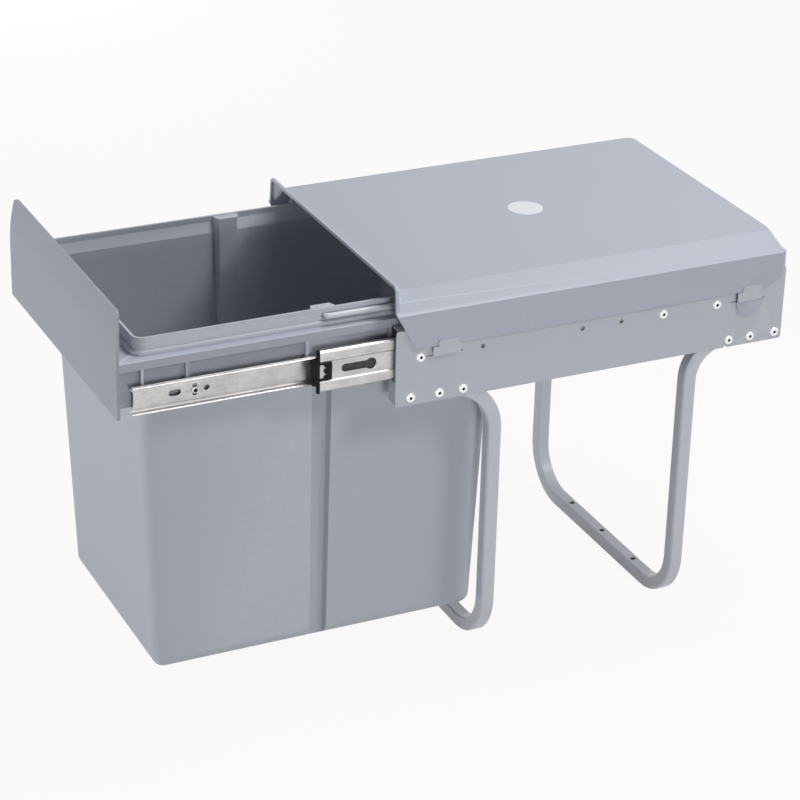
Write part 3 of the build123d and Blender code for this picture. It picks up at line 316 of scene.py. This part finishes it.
def edge_light_and_shade():
    """Painted highlight along sharp edges, broken up by noise, and painted shade in creases."""
    def build(tree, given, place):
        point = add(tree, "ShaderNodeNewGeometry").outputs["Pointiness"]
        broken = spread(tree, noise(tree, place, scale=160.0, detail=3.0), low=0.5, high=1.3)
        edge = product(tree, steps(tree, point, EDGE_LIGHT_STOPS), broken)
        lit_edge = product(tree, edge, given["Amount"])
        shaded_crease = product(tree, steps(tree, point, CREASE_SHADE_STOPS), given["Soil"])
        tint = shaded(tree, given["Colour"], one_plus(tree, lit_edge))
        return {"Colour": shaded(tree, tint, one_minus(tree, shaded_crease))}

    takes = {"Colour": WHITE, "Amount": 0.1, "Soil": 0.5}
    return effect("Edge wear", takes, {"Colour": "Color"}, build)


def gloss_patches():
    """Roughness that wanders between two limits."""
    def build(tree, given, place):
        patch = noise(tree, place, given["Scale"], detail=4.0)
        return {"Roughness": spread(tree, patch, given["Low"], given["High"])}

    takes = {"Scale": 40.0, "Low": 0.4, "High": 0.5}
    return effect("Gloss patches", takes, {"Roughness": "Float"}, build)


def fine_grain():
    """Height of a fine even grain: moulded spark grain or sprayed skin, by its scale."""
    def build(tree, given, place):
        return {"Height": noise(tree, place, given["Scale"], detail=2.0, roughness=0.6)}

    return effect("Fine grain", {"Scale": 1500.0}, {"Height": "Float"}, build)


def rolled_lines():
    """Lines and streaks along the direction that a slide was rolled in, with scuffs."""
    def build(tree, given, place):
        def streaky(across, along, detail, roughness):
            node = add(tree, "ShaderNodeMapping", Scale=(across, along, across))
            tree.links.new(place, node.inputs["Vector"])
            return noise(tree, node.outputs["Vector"], 1.0, detail, roughness)

        lines = streaky(across=820.0, along=6.0, detail=5.0, roughness=0.7)
        streaks = streaky(across=210.0, along=14.0, detail=4.0, roughness=0.6)
        blots = streaky(across=70.0, along=34.0, detail=6.0, roughness=0.75)
        contrast = given["Contrast"]
        lined = spread(tree, lines, one_minus(tree, contrast), one_plus(tree, contrast))
        darkest = one_minus(tree, product(tree, contrast, SCUFF_DEPTH))
        scuff = spread(tree, steps(tree, blots, SCUFFED), darkest, 1.0)
        tint = shaded(tree, shaded(tree, given["Colour"], lined), scuff)
        gloss = spread(tree, streaks, low=0.18, high=0.48)
        return {"Colour": tint, "Roughness": gloss, "Height": lines}

    takes = {"Colour": WHITE, "Contrast": 0.15}
    gives = {"Colour": "Color", "Roughness": "Float", "Height": "Float"}
    return effect("Rolled lines", takes, gives, build)


def keyhole_shade_spot():
    """Painted shade on the members that the keyhole of the middle member shows."""
    def build(tree, given, place):
        apart = add(tree, "ShaderNodeSeparateXYZ")
        tree.links.new(place, apart.inputs[0])
        near = 1.0
        for axis, (middle, half, soft) in KEYHOLE.items():
            off = maths(tree, "ABSOLUTE", maths(tree, "SUBTRACT", apart.outputs[axis], middle))
            limits = {"From_Min": half, "From_Max": half + soft, "To_Min": 1.0, "To_Max": 0.0}
            inside = add(tree, "ShaderNodeMapRange", **limits)
            tree.links.new(off, inside.inputs["Value"])
            near = product(tree, near, inside.outputs["Result"])
        patchy = spread(tree, noise(tree, place, scale=240.0, detail=3.0), low=0.85, high=1.05)
        return {"Mask": product(tree, near, patchy)}

    return effect("Keyhole grease", {}, {"Mask": "Float"}, build)


def recess_mask():
    """One inside the recess of a fastener's head, where shade is painted."""
    def build(tree, given, place):
        marked = add(tree, "ShaderNodeAttribute", attribute_name=RECESS).outputs["Fac"]
        patchy = spread(tree, noise(tree, place, scale=900.0), low=0.9, high=1.0)
        return {"Mask": product(tree, marked, patchy)}

    return effect("Recess mask", {}, {"Mask": "Float"}, build)


# ---- materials -----------------------------------------------------------------------------------
def surface(name, metallic=0.0, coat=0.0, specular=0.5):
    """New material, with its tree and its surface shader."""
    material = bpy.data.materials.new(name)
    material.use_nodes = True
    tree = material.node_tree
    shader = shader_of(tree)
    shader.inputs["Metallic"].default_value = metallic
    shader.inputs["Coat Weight"].default_value = coat
    shader.inputs["Coat Roughness"].default_value = 0.25
    shader.inputs["Specular IOR Level"].default_value = specular
    return material, tree, shader


def shader_of(tree):
    """Surface shader of a material's tree."""
    return next(node for node in tree.nodes if node.type == "BSDF_PRINCIPLED")


def tinted_and_edge_lit(tree, tint, cloud, drift, edge_light, crease_shade):
    """Colour with slow clouds, a painted highlight along sharp edges and painted shade in creases.
    """
    base = use(tree, colour_drift(), Colour=tint, Scale=cloud, Amount=drift)["Colour"]
    return use(tree, edge_light_and_shade(), Colour=base, Amount=edge_light, Soil=crease_shade)["Colour"]


def glossed(tree, shader, patch, low, high):
    """Gives the shader a roughness that wanders between two limits."""
    gloss = use(tree, gloss_patches(), Scale=patch, Low=low, High=high)["Roughness"]
    join(tree, gloss, shader.inputs["Roughness"])


def bumped(tree, shader, height, distance, strength):
    """Sends a height to the shader's normal."""
    node = add(tree, "ShaderNodeBump", Distance=distance, Strength=strength)
    tree.links.new(height, node.inputs["Height"])
    tree.links.new(node.outputs["Normal"], shader.inputs["Normal"])


def grained(tree, shader, grain, distance, strength):
    """Gives the shader a fine grain."""
    bumped(tree, shader, use(tree, fine_grain(), Scale=grain)["Height"], distance, strength)


def moulded(name, tint, low=0.40, high=0.44, edge_light=0.22, crease_shade=0.35, drift=0.006, specular=0.4):
    """Moulded plastic with a spark-eroded grain."""
    material, tree, shader = surface(name, specular=specular)
    # the last two values of this call are the painted highlight along edges and the painted shade
    # in creases
    base = tinted_and_edge_lit(tree, (*tint, 1.0), cloud=7.0, drift=drift, edge_light=edge_light, crease_shade=crease_shade)
    join(tree, base, shader.inputs["Base Color"])
    glossed(tree, shader, patch=24.0, low=low, high=high)
    grained(tree, shader, grain=1500.0, distance=0.00010, strength=0.25)
    return material


def sprayed(name, tint, coat=0.1):
    """Powder coat with a soft orange-peel skin."""
    material, tree, shader = surface(name, coat=coat)
    # the last two values of this call are the painted highlight along edges and the painted shade
    # in creases
    base = tinted_and_edge_lit(tree, (*tint, 1.0), cloud=12.0, drift=0.008, edge_light=0.06, crease_shade=0.2)
    join(tree, base, shader.inputs["Base Color"])
    glossed(tree, shader, patch=30.0, low=0.37, high=0.41)
    grained(tree, shader, grain=620.0, distance=0.00015, strength=0.20)
    return material


def rolled(name, tint, contrast=0.15):
    """Zinc-plated rolled steel."""
    material, tree, shader = surface(name, metallic=1.0)
    made = use(tree, rolled_lines(), Colour=(*tint, 1.0), Contrast=contrast)
    # the last two values of this call are the painted highlight along edges and the painted shade
    # in creases
    base = tinted_and_edge_lit(tree, made["Colour"], cloud=26.0, drift=0.10, edge_light=0.12, crease_shade=0.85)
    join(tree, base, shader.inputs["Base Color"])
    join(tree, made["Roughness"], shader.inputs["Roughness"])
    bumped(tree, shader, made["Height"], distance=0.00008, strength=0.25)
    return material


def with_keyhole_shade(material):
    """Copy of a slide's steel with the painted shade that the keyhole shows."""
    material = material.copy()
    material.name = f"Greased {material.name}"
    tree = material.node_tree
    shader = shader_of(tree)
    mask = use(tree, keyhole_shade_spot())["Mask"]
    for label, share in KEYHOLE_SHADE.items():
        socket = shader.inputs[label]
        unshaded = one_minus(tree, product(tree, mask, share))
        if socket.is_linked:
            unshaded = shaded(tree, socket.links[0].from_socket, unshaded)
        join(tree, unshaded, socket)
    return material


def plated(name, tint, metallic=1.0):
    """Bright plated metal of small fasteners, faintly mottled, with painted shade in its recesses.
    """
    material, tree, shader = surface(name, metallic=metallic)
    # the last two values of this call are the painted highlight along edges and the painted shade
    # in creases
    base = tinted_and_edge_lit(tree, (*tint, 1.0), cloud=800.0, drift=0.08, edge_light=0.2, crease_shade=0.97)
    shade_in_recess = product(tree, use(tree, recess_mask())["Mask"], RECESS_SHADE)
    join(tree, shaded(tree, base, one_minus(tree, shade_in_recess)), shader.inputs["Base Color"])
    glossed(tree, shader, patch=900.0, low=0.22, high=0.40)
    grained(tree, shader, grain=1100.0, distance=0.00006, strength=0.15)
    return material


def finishes(chosen):
    """One material for each material slot of the record."""
    # an edge value below sets the painted highlight along a finish's sharp edges
    return {
        "cover_plastic": moulded("Cover plastic", chosen.cover),
        "bin_plastic": moulded("Bin plastic", chosen.bin, low=0.46, high=0.50, edge_light=0.15),
        "carriage_plastic": moulded(
            "Carriage plastic", chosen.carriage, low=0.38, high=0.42, edge_light=0.6
        ),
        "plate_plastic": moulded("Plate plastic", chosen.plate, low=0.44, high=0.48, edge_light=0.05),
        "bumper_plastic": moulded(
            "Bumper plastic", chosen.bumper, low=0.30, high=0.40, edge_light=1.5, drift=0.3, specular=0.12
        ),
        "label_paper": moulded(
            "Label paper", chosen.label, low=0.50, high=0.60, edge_light=0.0, specular=0.2
        ),
        "panel_steel": sprayed("Panel paint", chosen.panel),
        "tube_paint": sprayed("Tube paint", chosen.tube, coat=0.2),
        "wire_paint": sprayed("Wire paint", chosen.tube, coat=0.3),
        "slide_steel": rolled("Slide steel", chosen.steel),
        "cage_steel": rolled("Cage steel", chosen.cage, contrast=0.2),
        "rivet_metal": plated("Rivet metal", chosen.rivet, metallic=0.9),
        "screw_steel": plated("Screw steel", chosen.screw),
        "ball_steel": plated("Ball steel", chosen.ball),
    }


# ---- mesh helpers --------------------------------------------------------------------------------
def slot_of(node):
    """Material slot of a CAD node."""
    return next(part["material_slot"] for part in RECORD["subparts"] if part["node"] == node)


def body_of(node):
    """Body that carries a CAD node."""
    bodies = RECORD["behaviour"]["bodies"]
    return next(body for body, nodes in bodies.items() if node in nodes)


def material_of(node):
    """Finish that a CAD node wears."""
    return NODES[node].data.materials[0]


def only(thing):
    """Leaves one object selected and active."""
    bpy.ops.object.select_all(action="DESELECT")
    bpy.context.view_layer.objects.active = thing
    thing.select_set(True)


def corners(verts):
    """Lowest and highest corner of the box round some vertices."""
    low = Vector([min(vert.co[i] for vert in verts) for i in range(3)])
    high = Vector([max(vert.co[i] for vert in verts) for i in range(3)])
    return low, high


def islands(node):
    """Boxes (low, high) of a node's separate solids, in the order of their vertices."""
    mesh = bmesh.new()
    mesh.from_mesh(NODES[node].data)
    bmesh.ops.remove_doubles(mesh, verts=mesh.verts, dist=SAME_PLACE)
    seen = set()
    boxes = []
    for first in mesh.verts:
        if first in seen:
            continue
        found = {first}
        border = [first]
        while border:
            near = {edge.other_vert(vert) for vert in border for edge in vert.link_edges} - found
            found |= near
            border = list(near)
        seen |= found
        boxes.append(corners(found))
    mesh.free()
    return boxes


def end_face(thing, top=True):
    """In edit mode, selects only the highest or lowest flat end of a form."""
    bpy.ops.mesh.select_all(action="DESELECT")
    mesh = bmesh.from_edit_mesh(thing.data)
    faces = [face for face in mesh.faces if abs(face.normal.z) > 0.99]
    chosen = (max if top else min)(faces, key=lambda face: face.calc_center_median().z)
    chosen.select = True
    bmesh.update_edit_mesh(thing.data)


def far_end(thing, way):
    """In edit mode, selects only the many-sided end that lies farthest along a direction."""
    bpy.ops.mesh.select_all(action="DESELECT")
    mesh = bmesh.from_edit_mesh(thing.data)
    ends = [face for face in mesh.faces if len(face.verts) > 4]
    max(ends, key=lambda face: face.calc_center_median().dot(Vector(way))).select = True
    bmesh.update_edit_mesh(thing.data)


def draw_out(way):
    """In edit mode, extrudes the selected end along a direction."""
    bpy.ops.mesh.extrude_region_move(TRANSFORM_OT_translate={"value": way})


def scale_across(share):
    """In edit mode, scales what is selected in X and Y."""
    bpy.ops.transform.resize(value=(share, share, 1))


def push(up, shrink=1.0):
    """Extrudes the selected end and scales it."""
    draw_out((0, 0, up))
    if shrink != 1.0:
        scale_across(shrink)


def face_out():
    """In edit mode, selects all faces and points them outwards."""
    bpy.ops.mesh.select_all(action="SELECT")
    bpy.ops.mesh.normals_make_consistent(inside=False)


def dome(radius, height, sides):
    """Domed head on the XY plane, left in edit mode with its flat top selected."""
    foot = height * DOME_FOOT
    bpy.ops.object.select_all(action="DESELECT")
    bpy.ops.mesh.primitive_cylinder_add(vertices=sides, radius=radius, depth=foot)
    thing = bpy.context.object
    bpy.ops.object.mode_set(mode="EDIT")
    bpy.ops.transform.translate(value=(0, 0, foot / 2))
    end_face(thing)
    even = height * (1 - DOME_FOOT) / DOME_LAYERS
    wide = 1.0
    for layer in range(1, DOME_LAYERS + 1):
        share = layer / (DOME_LAYERS + 1)
        narrow = (1 - share**DOME_CURVE) ** 0.5 * DOME_WIDTH
        push(even * (DOME_STEP if layer < DOME_LAYERS else DOME_TOP_STEP), narrow / wide)
        wide = narrow
    return thing


def shank(thing, share, depth):
    """Insets a form's underside and draws it out into a shank."""
    end_face(thing, top=False)
    push(0, share)
    push(-depth)


def mark_recess(thing, radius, low):
    """Marks the faces inside a head's recess, within a radius and above a height, where shade is
    painted.
    """
    bpy.ops.object.mode_set(mode="OBJECT")
    marks = thing.data.attributes.new(RECESS, "FLOAT", "FACE")
    for face in thing.data.polygons:
        inside = Vector(face.center[:2]).length < radius and face.center.z > low
        marks.data[face.index].value = float(inside)


def copies(form, places, name, node, body):
    """Copies a form to many places as one finished piece that replaces a CAD node."""
    bpy.ops.object.mode_set(mode="OBJECT")
    bpy.ops.object.select_all(action="DESELECT")
    made = []
    for place in places:
        copy = bpy.data.objects.new(name, form.data.copy())
        copy.data.transform(place)
        bpy.context.scene.collection.objects.link(copy)
        copy.select_set(True)
        made.append(copy)
    bpy.context.view_layer.objects.active = made[0]
    if len(made) > 1:
        bpy.ops.object.join()
    if not made[0].data.vertices:
        raise RuntimeError(f"{name} has no mesh")
    bpy.data.objects.remove(form)
    dressed(made[0], name, node, body)


def dressed(piece, name, node, body):
    """Finishes a piece that replaces a CAD node and rides on its body."""
    piece.name = name
    piece.data.materials.clear()
    piece.data.materials.append(material_of(node))
    only(piece)
    bpy.ops.object.mode_set(mode="EDIT")
    face_out()
    bpy.ops.object.mode_set(mode="OBJECT")
    bpy.ops.object.shade_smooth_by_angle(angle=SMOOTH_ANGLE)
    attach(piece, body)
    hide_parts(node)


def outward(low, high, height):
    """Place of a form whose local +Z looks out of a side, on the face of its CAD solid's head."""
    out = 1 if low.x + high.x > 0 else -1
    middle = (low + high) / 2
    face = (high.x if out > 0 else low.x) - out * height
    return Matrix.Translation((face, middle.y, middle.z)) @ Matrix.Rotation(out * pi / 2, 4, "Y")


def soften(node, radius, angle=28.0, segments=3, merged=False):
    """Rounds a CAD node's sharp edges with modifiers; merged joins its flat faces first."""
    thing = NODES[node]
    weld = thing.modifiers.new("Weld", "WELD")
    weld.merge_threshold = SAME_PLACE
    if merged:
        flat = thing.modifiers.new("Flat faces", "DECIMATE")
        flat.decimate_type = "DISSOLVE"
        flat.angle_limit = radians(0.5)
    bevel = thing.modifiers.new("Edges", "BEVEL")
    bevel.width = radius
    bevel.segments = segments
    bevel.limit_method = "ANGLE"
    bevel.angle_limit = radians(angle)
    bevel.use_clamp_overlap = True
    bevel.miter_outer = "MITER_ARC"
    normal = thing.modifiers.new("Normals", "WEIGHTED_NORMAL")
    normal.keep_sharp = True
    normal.weight = 100


# ---- operators: one for each piece or group ------------------------------------------------------
class BINUNIT_OT_finishes(bpy.types.Operator):
    """Makes the finishes and gives each CAD node the one of its slot"""

    bl_idname = "binunit.finishes"
    bl_label = "Finishes"

    def execute(self, context):
        made = finishes(settings())
        for part in RECORD["subparts"]:
            data = NODES[part["node"]].data
            data.materials.clear()
            data.materials.append(made[part["material_slot"]])
        # the inner members and inner cages get painted shade where the keyhole shows them
        for name in ("slide_inner", "inner_cage"):
            for side in SIDES:
                node = f"{name}_{side}"
                NODES[node].data.materials[0] = with_keyhole_shade(made[slot_of(node)])
        return {"FINISHED"}


class BINUNIT_OT_soft_edges(bpy.types.Operator):
    """Rounds the sharp edges of mouldings, sheet and tube"""

    bl_idname = "binunit.soft_edges"
    bl_label = "Soft edges"

    def execute(self, context):
        chosen = settings()
        for node in ("lid", "carriage_frame", "front_plate", "bin"):
            soften(node, chosen.moulded_edge)
        for side in SIDES:
            for name in ("side_panel", "slide_outer", "slide_middle", "slide_inner"):
                soften(f"{name}_{side}", chosen.sheet_edge, segments=2)
            soften(f"slide_bumper_{side}", chosen.sheet_edge)
        for node in ("front_leg", "rear_leg"):
            soften(node, chosen.tube_edge, angle=35.0, merged=True)
        return {"FINISHED"}


class BINUNIT_OT_rivets(bpy.types.Operator):
    """Models the blind rivets with domed heads and open mandrel holes"""

    bl_idname = "binunit.rivets"
    bl_label = "Blind rivets"

    def execute(self, context):
        chosen = settings()
        for node in ("leg_rivets", "slide_rivets"):
            boxes = islands(node)
            low, high = boxes[0]
            form = self.rivet((high.z - low.z) / 2 * RIVET_FIT, chosen)
            places = [outward(low, high, chosen.crown) for low, high in boxes]
            copies(form, places, node.replace("_", "-") + "-domed", node, "frame")
        return {"FINISHED"}

    def rivet(self, radius, chosen):
        """Domed head with an open hole, and a shank."""
        form = dome(radius, chosen.crown, chosen.turned_sides)
        scale_across(RIVET_TOP)
        push(0.0, chosen.mandrel / (radius * HEAD_FLAT * RIVET_TOP))
        push(-chosen.crown * LIP_DEPTH, LIP_NARROWS)
        push(-chosen.crown * HOLE_DEPTH)
        shank(form, RIVET_STEM, RIVET_GRIP)
        face_out()
        mark_recess(form, chosen.mandrel * HOLE_REACH, chosen.crown * HOLE_FLOOR)
        return form


class BINUNIT_OT_screws(bpy.types.Operator):
    """Models the pan-head screws of the slides and of the front plate, with cross recesses"""

    bl_idname = "binunit.screws"
    bl_label = "Screws"

    def execute(self, context):
        height = SLIDE_SCREW["height"]
        places = [outward(low, high, height) for low, high in islands("slide_screws")]
        form = self.pan_head(**SLIDE_SCREW)
        copies(form, places, "slide-screws-cross", "slide_screws", "carriage")

        turn = Matrix.Rotation(-pi / 2, 4, "X")
        places = []
        for low, high in islands("plate_screws"):
            middle = (low + high) / 2
            seat = (middle.x, high.y - PLATE_SCREW["height"], middle.z)
            places.append(Matrix.Translation(seat) @ turn)
        form = self.pan_head(**PLATE_SCREW)
        copies(form, places, "plate-screws-cross", "plate_screws", "carriage")
        return {"FINISHED"}

    def pan_head(self, radius, height, stem, depth):
        """Domed head with a cross recess and a shank."""
        head = dome(radius, height, settings().turned_sides)
        shank(head, stem / radius, depth)
        face_out()
        bpy.ops.object.mode_set(mode="OBJECT")
        for turn in (0.0, pi / 2):
            cutter = self.wing(radius * CROSS_SPAN, height, turn)
            cut = head.modifiers.new("Recess", "BOOLEAN")
            cut.object = cutter
            cut.operation = "DIFFERENCE"
            only(head)
            bpy.ops.object.modifier_apply(modifier=cut.name)
            bpy.data.objects.remove(cutter)
        mark_recess(head, radius * CROSS_REACH, height * CROSS_FLOOR)
        return head

    def wing(self, span, height, turn):
        """Tapered bar that cuts one arm of the cross into the top of a head."""
        bpy.ops.object.select_all(action="DESELECT")
        bpy.ops.mesh.primitive_cube_add(size=1.0)
        wing = bpy.context.object
        bpy.ops.object.mode_set(mode="EDIT")
        bpy.ops.transform.resize(value=(span, span * CROSS_WIDTH, height))
        bpy.ops.transform.translate(value=(0, 0, height * CROSS_RISE))
        end_face(wing, top=False)
        scale_across(CROSS_TAPER)
        bpy.ops.mesh.select_all(action="SELECT")
        bpy.ops.transform.rotate(value=turn, orient_axis="Z", center_override=(0, 0, 0))
        bpy.ops.object.mode_set(mode="OBJECT")
        return wing


class BINUNIT_OT_handle(bpy.types.Operator):
    """Models the bail handle as one bent round wire with pins at its ends"""

    bl_idname = "binunit.handle"
    bl_label = "Bail handle"

    def execute(self, context):
        low, high = corners(NODES["bail_handle"].data.vertices)
        half = HALF_ACROSS_FLATS * CAD_WIRE
        arm = high.x - half
        reach = high.y - low.y - 2 * half
        pivot = Vector((0, low.y + half, high.z - CAD_WIRE))
        fall = (pivot.z - low.z - CAD_WIRE) / reach
        wire = self.bent_wire(arm, reach, settings())
        place = Matrix.Translation(pivot) @ Matrix.Rotation(-fall, 4, "X")
        copies(wire, [place], "bail-handle-wire", "bail_handle", "bail")
        return {"FINISHED"}

    def bent_wire(self, arm, reach, chosen):
        """Wire in the XY plane from the right pin round to the left one."""
        bend, corner = chosen.pin_bend, chosen.handle_bend
        start = arm - chosen.pin
        straight = arm - bend - start
        bpy.ops.object.select_all(action="DESELECT")
        bpy.ops.mesh.primitive_cylinder_add(
            vertices=WIRE_SIDES,
            radius=chosen.wire,
            depth=straight,
            location=(start + straight / 2, 0, 0),
            rotation=(0, pi / 2, 0),
        )
        wire = bpy.context.object
        bpy.ops.object.transform_apply()
        bpy.ops.object.mode_set(mode="EDIT")
        far_end(wire, (-1, 0, 0))
        self.round_end(chosen)
        far_end(wire, (1, 0, 0))
        self.turn((arm - bend, bend, 0), PIN_BEND_STEPS)
        draw_out((0, reach - bend - corner, 0))
        self.turn((arm - corner, reach - corner, 0), HANDLE_BEND_STEPS)
        draw_out((-2 * (arm - corner), 0, 0))
        self.turn((corner - arm, reach - corner, 0), HANDLE_BEND_STEPS)
        draw_out((0, bend + corner - reach, 0))
        self.turn((bend - arm, bend, 0), PIN_BEND_STEPS)
        draw_out((straight, 0, 0))
        self.round_end(chosen)
        return wire

    def round_end(self, chosen):
        """Rounds the selected end of the wire."""
        bpy.ops.mesh.bevel(offset=chosen.wire * WIRE_END, segments=2, affect="EDGES")

    def turn(self, centre, count):
        """Bends the selected end through a quarter turn to the left."""
        bpy.ops.mesh.spin(steps=count, angle=-pi / 2, center=centre, axis=(0, 0, 1))


class BINUNIT_OT_balls(bpy.types.Operator):
    """Turns round balls in place of the faceted ones in the slides' cages"""

    bl_idname = "binunit.balls"
    bl_label = "Balls"

    def execute(self, context):
        for side in SIDES:
            for row in ("inner", "outer"):
                node = f"{row}_balls_{side}"
                boxes = islands(node)
                low, high = boxes[0]
                form = self.ball((high.z - low.z) / 2)
                places = [Matrix.Translation((low + high) / 2) for low, high in boxes]
                copies(form, places, f"{row}-balls-{side}-round", node, body_of(node))
        return {"FINISHED"}

    def ball(self, radius):
        """Ball turned from a half circle."""
        bpy.ops.object.select_all(action="DESELECT")
        bpy.ops.mesh.primitive_circle_add(
            vertices=BALL_SIDES, radius=radius, rotation=(pi / 2, 0, 0)
        )
        ball = bpy.context.object
        bpy.ops.object.transform_apply()
        bpy.ops.object.mode_set(mode="EDIT")
        bpy.ops.mesh.select_all(action="DESELECT")
        mesh = bmesh.from_edit_mesh(ball.data)
        for vert in mesh.verts:
            vert.select = vert.co.x < -SAME_PLACE
        mesh.select_flush(True)
        bpy.ops.mesh.delete(type="VERT")
        bpy.ops.mesh.select_all(action="SELECT")
        bpy.ops.mesh.spin(steps=BALL_STEPS, angle=2 * pi, center=(0, 0, 0), axis=(0, 0, 1))
        bpy.ops.mesh.select_all(action="SELECT")
        bpy.ops.mesh.remove_doubles(threshold=SAME_PLACE)
        return ball


class BINUNIT_OT_stage(bpy.types.Operator):
    """Sets the pale floor, the soft studio light and the camera"""

    bl_idname = "binunit.stage"
    bl_label = "Stage"

    def execute(self, context):
        chosen = settings()
        self.floor()
        self.world()
        for name, level, size, place in LAMPS:
            self.lamp(name, getattr(chosen, level), size, place)
        self.camera()
        context.scene.view_settings.view_transform = "Standard"
        return {"FINISHED"}

    def backdrop_rays(self, tree):
        """One for rays from the camera, reflections and transmission, which see white."""
        path = add(tree, "ShaderNodeLightPath").outputs
        both = maths(tree, "MAXIMUM", path["Is Camera Ray"], path["Is Glossy Ray"])
        return maths(tree, "MAXIMUM", both, path["Is Transmission Ray"])

    def finish_tree(self, tree, output, share, lit, seen):
        """Sends a mix of the lit and the seen shader to a tree's output."""
        mix = add(tree, "ShaderNodeMixShader")
        tree.links.new(share, mix.inputs[0])
        tree.links.new(lit.outputs[0], mix.inputs[1])
        tree.links.new(seen.outputs[0], mix.inputs[2])
        tree.links.new(mix.outputs[0], output.inputs["Surface"])

    def floor(self):
        """Plain pale floor under the feet, which keeps a faint shadow."""
        bpy.ops.object.select_all(action="DESELECT")
        bpy.ops.mesh.primitive_plane_add(size=FLOOR_SIZE, location=(0, 0, -FLOOR_DROP))
        floor = bpy.context.object
        floor.name = "Floor"
        material, tree, shader = surface("Floor")
        shader.inputs["Base Color"].default_value = FLOOR_GREY
        shader.inputs["Roughness"].default_value = 0.9
        glow = add(tree, "ShaderNodeEmission", Strength=1.0)
        share = product(tree, self.backdrop_rays(tree), FLOOR_GLOW)
        output = next(node for node in tree.nodes if node.type == "OUTPUT_MATERIAL")
        self.finish_tree(tree, output, share, shader, glow)
        floor.data.materials.append(material)

    def world(self):
        """White to the camera and in reflections, a softer grey as light."""
        world = bpy.data.worlds.new("Studio")
        world.use_nodes = True
        tree = world.node_tree
        tree.nodes.clear()
        output = add(tree, "ShaderNodeOutputWorld")
        seen = add(tree, "ShaderNodeBackground", Color=WHITE, Strength=1.0)
        light = add(tree, "ShaderNodeBackground", Color=SKY_TINT, Strength=SKY_LEVEL)
        self.finish_tree(tree, output, self.backdrop_rays(tree), light, seen)
        bpy.context.scene.world = world

    def lamp(self, name, level, size, place):
        """Square soft lamp that faces the object."""
        bpy.ops.object.light_add(type="AREA", location=place)
        lamp = bpy.context.object
        lamp.name = name
        lamp.data.energy = level
        lamp.data.size = size
        away = Vector(LAMP_AIM) - Vector(place)
        lamp.rotation_euler = away.to_track_quat("-Z", "Y").to_euler()

    def camera(self):
        """Camera at the photograph's viewing angle."""
        bpy.ops.object.camera_add(location=CAMERA_PLACE)
        camera = bpy.context.object
        camera.name = "Camera"
        camera.rotation_euler = [radians(angle) for angle in CAMERA_TURN]
        camera.data.sensor_width = CAMERA_SENSOR
        camera.data.lens = CAMERA_LENS
        camera.data.clip_start = CAMERA_NEAR
        bpy.context.scene.camera = camera


class BINUNIT_PT_panel(bpy.types.Panel):
    """Buttons and settings of the unit in the sidebar"""

    bl_idname = "BINUNIT_PT_panel"
    bl_label = "Pull-out waste-bin unit"
    bl_space_type = "VIEW_3D"
    bl_region_type = "UI"
    bl_category = "Bin unit"

    def draw(self, context):
        column = self.layout.column()
        for name in BinUnitSettings.__annotations__:
            column.prop(context.scene.bin_unit, name)
        for operator in OPERATORS:
            column.operator(operator.bl_idname)


OPERATORS = (
    BINUNIT_OT_finishes,
    BINUNIT_OT_soft_edges,
    BINUNIT_OT_rivets,
    BINUNIT_OT_screws,
    BINUNIT_OT_handle,
    BINUNIT_OT_balls,
    BINUNIT_OT_stage,
)
CLASSES = (BinUnitSettings, *OPERATORS, BINUNIT_PT_panel)


def register():
    """Registers the settings, the operators and the panel."""
    for item in CLASSES:
        bpy.utils.register_class(item)
    bpy.types.Scene.bin_unit = PointerProperty(type=BinUnitSettings)


def unregister():
    """Takes them out again."""
    del bpy.types.Scene.bin_unit
    for item in reversed(CLASSES):
        bpy.utils.unregister_class(item)


def main():
    """Registers the unit and runs each of its operators, which dress the frame."""
    register()
    for operator in OPERATORS:
        group, name = operator.bl_idname.split(".")
        getattr(getattr(bpy.ops, group), name)()


if __name__ == "__main__":
    main()
